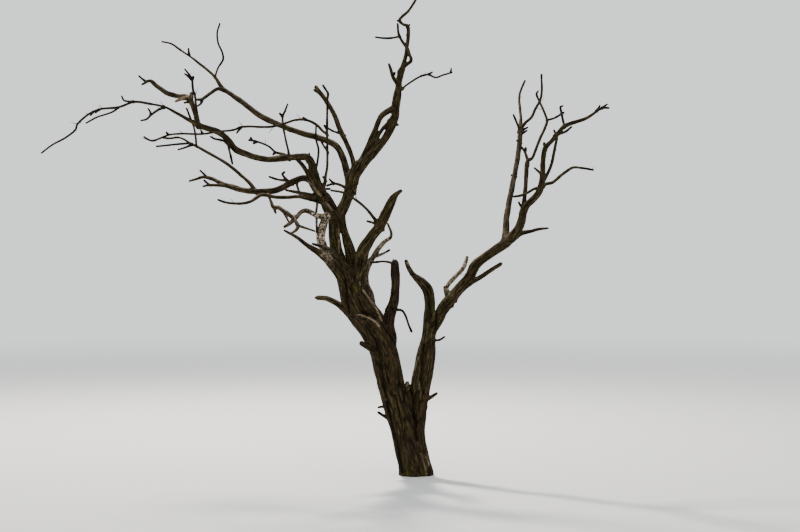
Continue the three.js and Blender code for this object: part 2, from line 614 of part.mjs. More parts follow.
// Turns a limb's stations into rings along a smooth curve.
function layOut(way, rootDepth, lean) {
  const stations = way.map((station) => new THREE.Vector3(...station));
  const curve = new THREE.CatmullRomCurve3(stations, false, 'centripetal');
  const count = Math.max(2, Math.round(curve.getLength() / RING_STEP));
  const rings = [];
  for (let i = 0; i <= count; i++) {
    const share = i / count;
    const { x: across, y: up, z: thick } = curve.getPointAt(share);
    const depth = rootDepth + evenly(lean, share);
    const scale = (EYE_DISTANCE + depth) / EYE_DISTANCE;
    const whole = thick + GLARE * Math.max(1 - thick / GLARE_GONE, 0);
    rings.push({ across, up, depth, centre: at(across, up, depth), radius: whole / 2 * scale });
  }
  return squared(rings, new THREE.Vector3(0, 1, 0));
}

// Where the onlooker sees a limb nearest to a place on the sheet: its ring, and its depth there.
function onLimb(rings, across, up) {
  let found = { apart: Infinity };
  const place = new THREE.Vector3(across, up, 0);
  for (let ring = 0; ring + 1 < rings.length; ring++) {
    const [from, to] = [rings[ring], rings[ring + 1]];
    const run = new THREE.Line3(
      new THREE.Vector3(from.across, from.up, 0),
      new THREE.Vector3(to.across, to.up, 0),
    );
    const share = run.closestPointToPointParameter(place, true);
    const apart = run.at(share, new THREE.Vector3()).distanceTo(place);
    const depth = THREE.MathUtils.lerp(from.depth, to.depth, share);
    if (apart < found.apart) found = { apart, ring, depth };
  }
  return found;
}

// Leaves out the rings that a nearly straight run can spare.
function spared(rings) {
  const kept = [rings[0]];
  let from = 0;
  for (let to = 2; to < rings.length; to++) {
    const run = new THREE.Line3(rings[from].centre, rings[to].centre);
    const long = run.distance() > LONGEST_RUN;
    const bent = rings.slice(from + 1, to).some((ring) => {
      const share = run.closestPointToPointParameter(ring.centre, true);
      const radius = THREE.MathUtils.lerp(rings[from].radius, rings[to].radius, share);
      const away = run.at(share, new THREE.Vector3()).distanceTo(ring.centre);
      const spare = BEND_LEFT_OUT + BEND_SHARE * ring.radius;
      return away > spare || Math.abs(radius - ring.radius) > spare;
    });
    if (long || bent) {
      from = to - 1;
      kept.push(rings[from]);
    }
  }
  return [...kept, rings[rings.length - 1]];
}

// A closed tube through the rings. Growing it on every side gives the space kept around it.
function tube(rings, sides, grow = 0, broken = false) {
  const last = rings.length - 1;
  const positions = [];
  const index = [];
  const random = seeded(Math.round(rings[0].radius * 1000 + last));
  const wider = grow / Math.cos(Math.PI / sides);
  rings.forEach((ring, i) => {
    const onwards = i === 0 ? -grow : i === last ? grow : 0;
    for (let j = 0; j < sides; j++) {
      const angle = (j / sides) * Math.PI * 2;
      const splinter = broken && i === last ? random() * ring.radius * SPLINTER : 0;
      const point = ring.centre.clone()
        .addScaledVector(ring.side, Math.cos(angle) * (ring.radius + wider))
        .addScaledVector(ring.over, Math.sin(angle) * (ring.radius + wider))
        .addScaledVector(ring.along, onwards + splinter);
      positions.push(...point);
    }
  });
  positions.push(...rings[0].centre.clone().addScaledVector(rings[0].along, -grow));
  positions.push(...rings[last].centre.clone().addScaledVector(rings[last].along, grow));
  const [rootCap, tipCap] = [positions.length / 3 - 2, positions.length / 3 - 1];
  for (let j = 0; j < sides; j++) {
    const next = (j + 1) % sides;
    for (let i = 0; i < last; i++) {
      const [a, b] = [i * sides + j, i * sides + next];
      index.push(a, b, b + sides, a, b + sides, a + sides);
    }
    index.push(rootCap, next, j, tipCap, last * sides + j, last * sides + next);
  }
  const geometry = new THREE.BufferGeometry();
  geometry.setAttribute('position', new THREE.Float32BufferAttribute(positions, 3));
  geometry.setIndex(index);
  return geometry;
}

function solidOf(geometry) {
  geometry.deleteAttribute('normal');
  geometry.deleteAttribute('uv');
  const merged = mergeVertices(geometry);
  return new wasm.Manifold(new wasm.Mesh({
    numProp: 3,
    vertProperties: new Float32Array(merged.attributes.position.array),
    triVerts: new Uint32Array(merged.index.array),
  }));
}

function sidesFor(rings) {
  const widest = Math.max(...rings.map((ring) => ring.radius)) * 2;
  const wide = SIDES.find(([thick]) => widest > thick);
  return wide ? wide[1] : LEAST_SIDES;
}

const joined = (solids) => solids.reduce((all, one) => all.add(one));

// Each limb's rings, and the twigs and stubs that are fused on it.
const grown = {};
for (const [name, limb] of Object.entries(limbs)) {
  const [across, up] = limb.way[0];
  const rootDepth = limb.on ? onLimb(grown[limb.on].rings, across, up).depth : limb.depth;
  const rings = layOut(limb.way, rootDepth, limb.lean);
  const shoots = [];
  for (const { way, lean, off, near = 0 } of limb.shoots ?? []) {
    const bearer = off === undefined ? { rings } : shoots[off];
    const root = onLimb(bearer.rings, way[0][0], way[0][1]);
    const depth = root.depth - near;
    shoots.push({ root: bearer.root ?? root.ring, rings: layOut(way, depth, [lean]) });
  }
  grown[name] = { limb, rings, shoots };
}

// A sprig leaves a ring of its twig sideways, mostly towards or away from the onlooker, and
// bends up. It is skipped where it would come near any other limb.
function sprig(ring, turn, length) {
  const outwards = ring.side.clone().multiplyScalar(Math.cos(turn))
    .addScaledVector(ring.over, Math.sin(turn));
  const thick = Math.min(SPRIG_THICK, ring.radius * SPRIG_SHARE);
  const rings = [0, 0.5, 1].map((share) => ({
    centre: ring.centre.clone()
      .addScaledVector(outwards, length * share)
      .addScaledVector(ring.along, length * share * SPRIG_ALONG)
      .addScaledVector(UP, length * share * share * SPRIG_RISE),
    radius: thick / 2 * (1 - share * SPRIG_TAPER),
  }));
  return squared(rings, ring.along);
}

const everyLimb = Object.values(grown)
  .flatMap(({ rings, shoots }) => [rings, ...shoots.map((one) => one.rings)]);

function clearOfOthers(rings, own) {
  const apart = (ring, other) => (
    ring.centre.distanceTo(other.centre) - ring.radius - other.radius > SPRIG_CLEAR);
  return everyLimb
    .filter((others) => others !== own)
    .every((others) => others.every((other) => rings.slice(1).every((ring) => apart(ring, other))));
}

// The sprigs of one stretch of twig, spaced along it and turned by the golden angle.
function sprigsOn(stretch, own, seed) {
  const random = seeded(seed);
  const every = Math.round(SPRIG_SPACING / RING_STEP);
  const found = [];
  for (let i = every; i < stretch.length - 1; i += every) {
    const away = (i * GOLDEN_ANGLE) % Math.PI > Math.PI / 2 ? Math.PI : 0;
    const turn = away + (random() - 0.5) * SPRIG_SPREAD;
    const length = THREE.MathUtils.lerp(SPRIG_SHORTEST, SPRIG_LONGEST, random() ** 2);
    const one = sprig(stretch[i], turn, length);
    if (clearOfOthers(one, own)) found.push(one);
  }
  return found;
}

// The ribs of the foot, which run up into the trunk.
function ribs() {
  const random = seeded(RIB_SEED);
  return Array.from({ length: RIB_COUNT }, (_, i) => {
    const angle = ((i + RIB_UNEVEN * random()) / RIB_COUNT) * Math.PI * 2;
    const rings = RIB_SHARES.map((height) => {
      const share = Math.max(height, 0);
      const spread = RIB_SPREAD * (1 - RIB_GATHER * Math.sqrt(share));
      const off = new THREE.Vector3(
        Math.cos(angle) * spread + FOOT_LEAN * share,
        Math.sin(angle) * spread,
        RIB_HEIGHT * height,
      );
      return { centre: off.add(FOOT), radius: RIB_THICK / 2 * (1 - RIB_TAPER * share) };
    });
    return squared(rings, new THREE.Vector3(1, 0, 0));
  });
}

// Each solid's tubes: the stretch of its limb, its shoots and stubs, and its sprigs.
const pieces = {};
for (const { limb, rings, shoots } of Object.values(grown)) {
  const starts = Object.entries(limb.parts).map(([name, station]) => {
    const [across, up] = limb.way[station];
    return [name, station === 0 ? 0 : onLimb(rings, across, up).ring];
  });
  starts.forEach(([name, from], k) => {
    const to = k + 1 < starts.length ? starts[k + 1][1] : rings.length - 1;
    const stretch = rings.slice(from, to + 1);
    const isLast = to === rings.length - 1;
    const own = shoots.filter(({ root }) => root >= from && (root < to || isLast));
    const tubes = [
      { rings: spared(stretch), sides: sidesFor(stretch), broken: limb.broken && isLast },
      ...own.map((one) => ({ rings: spared(one.rings), sides: sidesFor(one.rings) })),
    ];
    if (name.startsWith('twigs_')) {
      const sprigs = sprigsOn(stretch, rings, Object.keys(pieces).length);
      tubes.push(...sprigs.map((one) => ({ rings: one, sides: SPRIG_SIDES })));
    }
    pieces[name] = pieces[name] ?? { bark: limb.bark, tubes: [] };
    pieces[name].tubes.push(...tubes);
  });
}
pieces.trunk.tubes.push(...ribs().map((rings) => ({ rings, sides: RIB_SIDES })));

// The trunk and boughs come first, so that a twig's stem is what is cut clear of its bough.
const order = Object.entries(pieces)
  .sort(([one], [other]) => one.startsWith('twigs_') - other.startsWith('twigs_'));

const cut = new THREE.BoxGeometry(2 * CUT_DEPTH, 2 * CUT_DEPTH, CUT_DEPTH);
const belowGround = solidOf(cut.translate(0, 0, -CUT_DEPTH / 2));

const placed = [];
const tree = new THREE.Group();
for (const [name, { bark, tubes }] of order) {
  const solids = tubes.map(({ rings, sides, broken }) => solidOf(tube(rings, sides, 0, broken)));
  let solid = joined(solids);
  if (name === 'trunk') solid = solid.subtract(belowGround);
  const box = solid.boundingBox();
  for (const other of placed) {
    const apart = [0, 1, 2].some((axis) => (
      box.min[axis] > other.box.max[axis] + GAP || other.box.min[axis] > box.max[axis] + GAP));
    if (!apart) solid = solid.subtract(other.space);
  }
  solid = solid.simplify(SMALLEST_EDGE);
  solid = solid.decompose().sort((one, other) => other.volume() - one.volume())[0];
  const spaces = tubes.map(({ rings, sides, broken }) => solidOf(tube(rings, sides, GAP, broken)));
  placed.push({ box, space: joined(spaces) });

  const { vertProperties, triVerts } = solid.getMesh();
  const geometry = new THREE.BufferGeometry();
  geometry.setAttribute('position', new THREE.BufferAttribute(vertProperties, 3));
  geometry.setIndex(new THREE.BufferAttribute(triVerts, 1));
  geometry.computeVertexNormals();
  const material = new THREE.MeshStandardMaterial({ ...BARK[bark], metalness: 0 });
  const mesh = new THREE.Mesh(geometry, material);
  mesh.name = name;
  tree.add(mesh);
}

export default tree;
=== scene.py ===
"""A dead, leafless tree. One mesh with the relief of bark and weathered wood stands for the trunk and boughs,
and tubes with finer twigs stand for the masses of twigs.

Metres, +X to the right, +Y away from the onlooker, +Z up, with the origin in the middle of the cut at ground
level. Only the tables of ridges, marks, patches and limbs are in millimetres, as the part's source is.
"""

import json
import math
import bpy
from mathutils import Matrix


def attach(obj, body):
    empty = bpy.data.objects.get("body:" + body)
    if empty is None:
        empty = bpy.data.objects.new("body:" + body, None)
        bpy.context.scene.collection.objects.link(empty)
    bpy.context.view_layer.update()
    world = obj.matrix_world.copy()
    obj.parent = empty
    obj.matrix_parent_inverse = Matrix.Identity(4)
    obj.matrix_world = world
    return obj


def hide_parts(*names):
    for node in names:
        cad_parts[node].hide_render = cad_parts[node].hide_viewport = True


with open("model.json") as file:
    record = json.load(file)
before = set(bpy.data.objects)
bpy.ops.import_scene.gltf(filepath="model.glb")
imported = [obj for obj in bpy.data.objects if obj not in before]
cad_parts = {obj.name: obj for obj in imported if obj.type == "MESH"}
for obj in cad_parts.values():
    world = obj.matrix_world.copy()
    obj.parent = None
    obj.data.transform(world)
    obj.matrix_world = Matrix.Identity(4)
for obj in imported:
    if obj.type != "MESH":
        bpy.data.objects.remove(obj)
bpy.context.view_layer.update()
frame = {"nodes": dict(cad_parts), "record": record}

from types import SimpleNamespace

import bmesh
import bpy
import numpy as np
from mathutils import Vector

MM = 0.001

# The onlooker stands in front of the tree, at eye level. Every limb is read on the upright sheet through the
# trunk's foot, and its depth pushes it along the onlooker's line of sight.
EYE_DISTANCE = 12.0
EYE_HEIGHT = 1.672
EYE_ACROSS = -0.116
LENS_MM = 67.5
SENSOR_MM = 36

# The glare of the sky eats into the width of a thin limb on the sheet, and a limb as thick as GLARE_GONE
# loses nothing.
GLARE = 0.0075
GLARE_GONE = 0.075

# The source's own rule for its random numbers, rings, sprigs and foot ribs.
RANDOM_FACTOR = 1664525
RANDOM_STEP = 1013904223
RANDOM_RANGE = 4294967296
RING_STEP = 0.020
RIB_COUNT = 7
RIB_SPREAD = 0.094
RIB_HEIGHT = 0.290
RIB_THICK = 0.074
RIB_REACH = (-0.15, 1)  # of its height, from below the ground to its top
RIB_GATHER = 0.48
RIB_TAPER = 0.5
RIB_UNEVEN = 0.35
RIB_SEED = 7
RIB_RINGS = 24
FOOT = (0.005, 0.004, 0)
FOOT_LEAN = -0.048
SPRIG_SPACING = 0.240
SPRIG_LONGEST = 0.120
SPRIG_SHORTEST = 0.035
SPRIG_THICK = 0.007
SPRIG_SHARE = 1.3
SPRIG_TAPER = 0.6
SPRIG_ALONG = 0.7
SPRIG_RISE = 0.3
SPRIG_SPREAD = 1.6
SPRIG_CLEAR = 0.016
SPRIG_RINGS = 9
SPRIG_CHECKED = 4  # each fourth of its rings is tried for space
GOLDEN_ANGLE = math.radians(137.5)

# How the rule is carried on to finer twigs.
FINER = 4  # rings for each ring of the source
CURVE_STEPS = 40  # between two stations
TWIGLET_SPACING = 0.085
TWIGLET_LONGEST = 0.030
TWIGLET_SHORTEST = 0.008
TWIGLET_THICK = 0.0065
TWIGLET_CLEAR = 0.004
TWIGLET_START = (0.4, 1.0)  # of the spacing, where the first one stands
TWIGLET_GAPS = (0.8, 1.6)  # of the spacing, how far each is from the next

# The wood's mesh.
VOXEL = 0.006
THIN = 0.0085  # a limb with a smaller radius than this is a tube of its own
TUBE_SUNK = 0.03  # how far such a tube reaches back into the thicker wood
THIN_GAIN = 0.0015  # metres, how much of its bark such a tube has beyond the source's radius
TUBE_NARROWED = 0.35  # of its radius, how much narrower it is inside the thicker wood
WOOD_NARROWED = 0.3  # of its radius, how much the thicker wood narrows towards it
COLLAR = 0.7  # of its radius, how far such a tube widens where it leaves its limb
COLLAR_LENGTH = 1.6  # of its radius, over which that wears off
TUBE_SIDES = ((0.006, 10), (0.003, 8), (0, 5))  # a tube wider than this radius has so many
WOOD_SIDES = 16
RIB_SIDES = 12
SPLINTER_SIDES = 6
TIP_REACH = 0.55  # of the radius, how far a tube's rounded tip reaches beyond its last ring
TIP_WIDTH = 0.6  # of the radius
TIP_POINT = 0.5  # of the tip's radius
FILLET = 0.55  # of a limb's radius, how far it grows together with the limb that bears it
WIDEST_FILLET = 0.026
PASSES = 3  # of laying the mesh on the wood's surface
LONGEST_MOVE = 0.02  # metres, in one pass
BREAK_FREE = (-0.2, 0.1)  # radii past a broken end, where its splinters begin to keep their own shape
NEAR_WOOD = 0.05  # metres, how far from a limb the mesh still feels it
LOOK_FADE = 0.012  # metres, over which one limb's look gives way to another's
BORDER_PASSES = 12  # of settling where one piece ends and the next begins
WOBBLE = 0.12  # of the radius, how far a limb strays from its smooth line
WOBBLE_FREE = 0.08  # metres from its root, where it doesn't stray yet
WOBBLE_LENGTH = (0.05, 2.5)  # metres, and radii on top, the length of a bend
SWELL = 0.08  # of the radius, how unevenly thick it is
SWELL_FINER = 2.7  # times closer, for half as much on top
NEAREST_EVERY = 2  # points are measured from every second ring
END_SLACK = 0.01  # rings
AT_ONCE = 20000  # points

# Splinters on a broken end, in shares of its radius.
SPLINTERS = 9
SPLINTER_RINGS = 5
SPLINTER_PLACES = (0.25, 0.8)
SPLINTER_SUNK = 0.7
SPLINTER_LENGTHS = (0.9, 2.0)
SPLINTER_SPREAD = (-0.1, 0.25)
SPLINTER_THICK = 0.34
SPLINTER_TAPER = 0.24

# The bark's relief, in shares of a limb's radius where no unit is given.
FLUTES = 0.11
FLUTES_ROUND = 1.3  # units of the noise for each radius
FLUTE_LENGTH = 6
LUMPS = 0.05
LUMP_SIZE = 0.9
SMALLEST_LUMP = 0.02  # metres
LUMP_STRETCH = 0.6  # their width, as a share of their length
FURROW_SPACING = 0.26
CLOSEST_FURROWS = 0.010  # metres
WIDEST_FURROWS = 0.023  # metres
FURROW_LENGTH = 11  # times their spacing
FURROW_BEND = 0.8  # times their spacing
FURROW_BEND_SCALE = 0.4
FURROW_DEPTH = 0.085
DEEPEST_FURROW = 0.0075  # metres
FURROW_UNEVEN = (0.65, 0.45)  # of the depth, and what each unit of the lumps adds
FURROW_WIDE = 0.30  # of the noise, where a furrow's sides begin
FURROW_SHADE_START = 0.22  # of the noise, where a furrow's painted shade begins
PLATE_RISE = 0.35  # of the depth, how far the bark between furrows stands out
KNOT_SPACING = 0.30  # metres along a limb
KNOT_SIZES = (0.13, 0.26)
SMALLEST_KNOT = 0.004  # metres
KNOTTY = 0.018  # metres, the radius from which a limb has knots
KNOT_FREE = 8  # one in so many of a limb's rings, at its root, has none
KNOT_REACH = 3  # times a knot's size, and so are the next four
KNOT_COLLAR = (1.1, 0.5)
KNOT_HOLE = 0.6
KNOT_RISE = 0.25
KNOT_DEPTH = 0.5
MARK_UNEVEN = 0.45  # of its width
MARK_GRAIN = 0.035  # metres
MARK_FACING = (-0.15, 0.35)  # how far the wood has to face the onlooker, from none of a mark to all of it

# The noise that all relief and looks follow.
ASKEW = np.eye(3) - 2 * np.outer((0.36, 0.48, 0.80), (0.36, 0.48, 0.80))
NOISE_SHIFT = 17.13
NOISE_PRIMES = (73856093, 19349663, 83492791)
NOISE_MIXERS = ((13, 1274126177), (15, 2246822519))
NOISE_BITS = 0x7FFFFFFF
NOISE_GAIN = 1.6
BYTE = 255
HALF_BYTE = 127.5

# The seeds of the random draws and of the noises. Those in the last row are added to a limb's number.
SEED = SimpleNamespace(
    twiglets=5, knots=11,
    aside=11, over=12, swelling=13, finer_swelling=14, coarse=21, fine=22, moss=23, marks=31,
    lumps=50, furrows=60, bends=70,
)

# Ridges that lie on the front of other limbs, each with its stations on the sheet, (across, up, thick), and
# how far it stands out at its root and at its end.
RIDGES = [
    # The arm that ends in the healed wound under the crown, and the ridge to the right of it.
    dict(
        on=["left"],
        way=[(-195, 840, 84), (-220, 946, 108), (-257, 1059, 116), (-316, 1149, 104), (-380, 1221, 80),
            (-436, 1268, 40)],
        out=(2, 30),
    ),
    dict(
        on=["left"],
        way=[(-150, 930, 40), (-184, 1060, 46), (-238, 1160, 56), (-305, 1226, 40)],
        out=(4, 14),
    ),
    # The ridge beside the crevice of the stub, pale with bare wood and painted sunlight.
    dict(
        on=["left", "leader", "centre"],
        way=[(-268, 1236, 18), (-289, 1293, 18), (-314, 1347, 20), (-359, 1400, 22), (-400, 1460, 20)],
        out=(8, 6),
    ),
    # The two strands of the bough that rises to the left.
    dict(
        on=["front"],
        way=[(-640, 2105, 34), (-700, 2190, 36), (-760, 2270, 34), (-800, 2330, 30), (-838, 2400, 28)],
        out=(16, 14),
    ),
    # The beak of the broken bough in the middle.
    dict(
        on=["centre"],
        way=[(-215, 2118, 66), (-182, 2186, 62), (-162, 2222, 50), (-132, 2256, 30), (-104, 2272, 20)],
        out=(2, 0),
    ),
    # The ribs of the trunk's foot.
    dict(on=["left", "right"], way=[(108, -20, 26), (92, 60, 24), (66, 150, 20), (44, 230, 14)], out=(12, 2)),
    dict(
        on=["left", "right"],
        way=[(-20, -20, 60), (-40, 120, 56), (-76, 300, 50), (-110, 480, 40)],
        out=(10, 3),
    ),
]

# Places on the sheet where the wood stands out (rise above 0) or is cut in, and where it is pale. The
# paleness is bare wood, and on some ridges painted sunlight; where the wood is cut in, it is darkened with
# painted shade.
MARKS = [
    # The furrow between the stems, the groove up the right one, and the long check in the left one.
    dict(
        on=["left", "right"],
        way=[(-33, 712), (-22, 640), (-4, 580), (-10, 520), (-4, 456), (12, 400), (8, 340), (16, 280)],
        wide=10, rise=-17, pale=0,
    ),
    dict(
        on=["right"],
        way=[(76, 1040), (66, 960), (60, 896), (54, 820), (52, 760), (62, 700), (76, 648)],
        wide=9, rise=-14, pale=0,
    ),
    dict(
        on=["left"],
        way=[(-268, 932), (-258, 840), (-252, 760), (-232, 640), (-206, 520), (-176, 380), (-150, 280)],
        wide=10, rise=-13, pale=0,
    ),
    dict(on=["left"], way=[(-150, 640), (-128, 520), (-100, 400), (-86, 300)], wide=6, rise=-6, pale=0),
    dict(on=["right"], way=[(36, 750), (36, 690)], wide=6, rise=5, pale=0.7),
    # The foot: the groove on its left, darkened with painted shade, and the ribs on its right, pale with bare
    # wood and painted sunlight.
    dict(
        on=["left", "right"],
        way=[(-140, 270), (-124, 180), (-110, 100), (-98, 20)],
        wide=12, rise=-15, pale=0,
    ),
    dict(on=["left", "right"], way=[(52, 170), (76, 90), (98, 8)], wide=4.5, rise=5, pale=0.9),
    dict(on=["left", "right"], way=[(92, 144), (104, 116), (118, 84)], wide=4, rise=5, pale=0.7),
    # The crotch's splinters.
    dict(on=["left", "right"], way=[(-64, 712), (-44, 752)], wide=5, rise=9, pale=1),
    dict(on=["left", "right"], way=[(-44, 690), (-22, 730)], wide=5, rise=8, pale=0.9),
    dict(on=["left", "right"], way=[(-28, 760), (2, 850), (30, 940)], wide=6, rise=4, pale=0.45),
    # Knots low on the left stem.
    dict(on=["left"], way=[(-228, 604), (-224, 604)], wide=6, rise=4, pale=0.9),
    dict(on=["left"], way=[(-90, 588), (-86, 584)], wide=9, rise=-11, pale=0),
    # The healed wound under the crown, with its lip, and the hollow above it. The lip and the ridge beside
    # the stub's crevice are pale with bare wood and painted sunlight; the hollows are darkened with painted
    # shade.
    dict(
        on=["left", "centre", "leader", "back"],
        way=[(-452, 1285), (-404, 1270), (-352, 1252), (-310, 1222), (-284, 1190)],
        wide=7, rise=3, pale=1,
    ),
    dict(on=["left", "centre"], way=[(-420, 1304), (-360, 1286), (-306, 1252)], wide=12, rise=-12, pale=0),
    dict(
        on=["left"],
        way=[(-396, 1196), (-358, 1150), (-318, 1090), (-290, 1010), (-272, 950)],
        wide=9, rise=-9, pale=0,
    ),
    dict(
        on=["left", "centre", "leader", "back"],
        way=[(-410, 1478), (-380, 1437), (-352, 1394), (-312, 1346), (-288, 1292), (-262, 1240)],
        wide=7, rise=3, pale=1,
    ),
    dict(
        on=["left", "leader", "low", "hangingLow"],
        way=[(-551, 1566), (-545, 1480), (-532, 1376), (-520, 1300)],
        wide=11, rise=-12, pale=0,
    ),
    dict(
        on=["left", "stub"],
        way=[(-262, 1210), (-226, 1150), (-186, 1105), (-150, 1040)],
        wide=9, rise=-12, pale=0,
    ),
    dict(on=["stub"], way=[(-180, 1334), (-176, 1328)], wide=13, rise=-13, pale=0),
    # The hollow between the two strands of the bough that rises to the left.
    dict(
        on=["front"],
        way=[(-849, 2349), (-790, 2281), (-732, 2203), (-654, 2115)],
        wide=8, rise=3, pale=0.8,
    ),
    dict(on=["front"], way=[(-735, 2262), (-690, 2190), (-630, 2120)], wide=10, rise=-13, pale=0),
    dict(on=["leader", "left"], way=[(-605, 1960), (-604, 1860), (-602, 1773)], wide=5, rise=5, pale=0.6),
    # Two small bare scars at the root of the bough in the middle.
    dict(on=["left", "leader", "centre"], way=[(-564, 1634), (-556, 1602)], wide=4.5, rise=2, pale=0.9),
    dict(on=["left", "centre"], way=[(-438, 1546), (-434, 1520)], wide=3.5, rise=2, pale=0.8),
    # The right stem: the bare upper edge of its broken bough, and the crease below the fork.
    dict(
        on=["right"],
        way=[(-60, 1700), (-36, 1680), (-6, 1650), (40, 1592), (62, 1572)],
        wide=6, rise=3, pale=0.7,
    ),
    dict(
        on=["right", "farRight"],
        way=[(160, 1413), (176, 1354), (172, 1272), (173, 1167)],
        wide=10, rise=-14, pale=0,
    ),
    dict(on=["farRight"], way=[(257, 1391), (262, 1386)], wide=12, rise=-10, pale=0),
    dict(on=["farRight"], way=[(492, 1584), (497, 1581)], wide=7, rise=3, pale=0.9),
    dict(on=["farRight"], way=[(452, 1700), (520, 1752), (600, 1806)], wide=7, rise=2, pale=0.7),
    # The torn wood at the bend of the bough above the front one.
    dict(
        on=["frontUpright"],
        way=[(-1908, 2992), (-1850, 3012), (-1800, 3034), (-1785, 3056)],
        wide=20, rise=2, pale=1,
    ),
]

# Places on the sheet where one look lies on the wood: across, up and half its width, in millimetres.
PATCHES = [
    dict(
        look="olive", on=["right"],
        spots=[(110, 1090, 60), (118, 1190, 60), (120, 1300, 60), (118, 1400, 60), (84, 1500, 60)],
        share=1,
    ),
    dict(look="reddish", on=["left", "right"], spots=[(-28, 222, 44), (-20, 170, 30)], share=0.75),
    dict(look="mossy", on=["left"], spots=[(-276, 945, 30), (-262, 905, 22)], share=0.9),
    dict(look="mossy", on=["left", "right"], spots=[(-96, 40, 50), (-40, 20, 40), (60, 15, 30)], share=0.8),
    dict(
        look="mossy", on=["leader", "left", "farRight", "right"],
        spots=[(-640, 1830, 60), (-600, 1700, 60), (-455, 1510, 50), (120, 1330, 60), (250, 1420, 45),
            (220, 1130, 60)],
        share=0.75,
    ),
    dict(look="crusted", on=["left", "leader", "hangingLow"], spots=[(-716, 1764, 30)], share=0.9),
    dict(
        look="crusted", on=["lichenTip"],
        spots=[(-730, 2076, 30), (-776, 2074, 34), (-822, 2098, 22)],
        share=0.9,
    ),
    dict(
        look="crusted", on=["back"],
        spots=[(-230, 1900, 40), (-262, 1830, 34), (-205, 1800, 30), (-330, 1680, 40)],
        share=0.7,
    ),
]

# How each limb looks, from 0 to 1: olive with algae, reddish, crusted with lichen, bare where it faces up
# (bleached wood with painted sunlight).
LOOKS = {
    "left": (0.25, 0.05, 0, 0.04), "right": (0.35, 0, 0, 0.05), "stub": (0, 1, 0, 0.08),
    "centre": (0.8, 0, 0, 0.10), "back": (0.3, 0, 0.2, 0.25), "leader": (1, 0, 0, 0.06),
    "top": (0.75, 0, 0, 0.10), "crown": (0.25, 0, 0, 0.10), "high": (0.7, 0, 0, 0.12),
    "farLeft": (0.6, 0, 0, 0.10), "front": (0.55, 0, 0, 0.12), "frontUpright": (0.4, 0, 0, 0.15),
    "low": (0.35, 0, 0, 0.35), "lowRise": (0.2, 0, 0, 0.3), "lowFront": (0.3, 0, 0, 0.6),
    "hanging": (0.2, 0, 0.1, 1), "hangingLow": (0.3, 0, 0, 0.4), "lichen": (0, 0, 1, 0.4),
    "lichenTip": (0.3, 0, 0.1, 0.45), "farRight": (0.6, 0, 0, 0.10), "rightStub": (0.3, 0, 0, 0.10),
    "rightPale": (0.3, 0, 0.7, 0.5), "stubLeft": (0.2, 0.4, 0, 0.2), "stemLeft": (0.5, 0, 0, 0.7),
}
USUAL_LOOK = (0.3, 0, 0, 0.12)
LOOK_NAMES = ["olive", "reddish", "crusted", "bleached"]

# Where the looks lie: the lows and highs of the shares that fade them in.
COARSE_SPOTS = 0.11  # metres
FINE_SPOTS = 0.028  # metres
MOSS_SPOTS = 0.16  # metres
# Upward faces are paler: bleached wood, and painted sunlight.
FACING_UP = (0.15, 0.85)
FACING_UP_UNEVEN = (0.30, 0.15)  # by the fine and the coarse spots
OLIVE_SPREAD = (0.8, 0.5)  # of the look, and what each unit of the noise adds
CRUST_SPREAD = (0.9, 0.5)  # as above
SHADED = (0.5, -0.6)
MOSS_COVER = (0.1, 0.8)
MOSS_UNEVEN = 0.3
MOST_MOSS = 0.5
PATCH_FACING = (-0.1, 0.3)
PATCH_EDGE = (1.25, 0.5)
PATCH_UNEVEN = 0.35
GRAIN_SHIFT = (0.37, 0.11, 0.53)  # metres, so that no two limbs have the same streaks

# The pieces of the union, each with the record's material slot.
SLOT_OF = {
    "trunk_and_stems": "trunk_bark",
    "left_boughs": "algae_bark",
    "front_boughs": "algae_bark",
    "right_boughs": "algae_bark",
    "red_stub": "red_bark",
    "lichen_bough": "lichen_bark",
}
PIECES = list(SLOT_OF)
BRANCHES = {"front": "front_boughs", "right": "right_boughs"}  # the rest of the olive limbs are left boughs

# Colours, from 0 to 255: each bark from its darkest to its lightest streaks. The stops are where along the
# noise's values each tone lies.
BARK_TONES = {
    "brown": ((14, 10, 6), (45, 36, 23), (84, 69, 47)),
    "olive": ((17, 15, 8), (57, 49, 27), (99, 88, 56)),
    "red": ((13, 9, 6), (43, 32, 23), (70, 55, 42)),
    "moss": ((22, 28, 6), (58, 62, 20), (92, 96, 44)),
}
DARK_TONE = (18, 14, 8)
# The painted shade in furrows, cut-in marks and knot holes.
FURROW_SHADE_TONE = (7, 6, 4)
CRUST_TONES = ((34, 27, 18), (144, 128, 106), (196, 182, 160))
# Bleached bare wood with painted sunlight, on upward faces and pale marks.
BARE_AND_SUNLIT_TONES = ((112, 94, 70), (186, 166, 136))
TWIG_TONES = {
    "twigs": ((22, 18, 12), (31, 26, 18), (28, 21, 14)),
    "lichen_twigs": ((58, 49, 35), (96, 84, 65), (40, 33, 23)),
}
TWIG_SHADES = len(TWIG_TONES["twigs"])
TWIG_STREAKS = (0.5, 1, 1.9)  # times a twig's tone
BARK_STOPS = (0.37, 0.51, 0.70)
CRUST_STOPS = (0.43, 0.47, 0.62)
BARE_AND_SUNLIT_STOPS = (0.30, 0.72)
TWIG_STOPS = (0.32, 0.5, 0.72)
FURROW_SHADE_COVER = 0.92  # of the bark's tone, how much the painted shade in a furrow hides
GRAIN_STRETCH = 0.11  # the streaks' width, as a share of their length
FIBRE_HEIGHT = 0.35  # of the streaks' height
TWIG_ROUGHNESS = 0.9
SHINE = 0.05

# Light, in watts and metres.
SKY_TINT = (0.96, 0.98, 1.0, 1)
SKY_STRENGTH = 1.25
SUN_PLACE = (-2.6, 5.2, 9.0)
SUN_AIM = (-0.4, 0, 2)
SUN_SIZE = 0.9
SUN_POWER = 2200
SUN_TINT = (1.0, 0.95, 0.86)
FILL_PLACE = (4.0, -9.0, 5.0)
FILL_AIM = (-0.3, 0, 2)
FILL_SIZE = 5.0
FILL_POWER = 60
FILL_TINT = (0.96, 0.98, 1.0)
FLOOR_HALF = 300
FLOOR_FADE = (7, 26)
FLOOR_COLOUR = (0.62, 0.62, 0.61, 1)
FLOOR_ROUGHNESS = 0.9

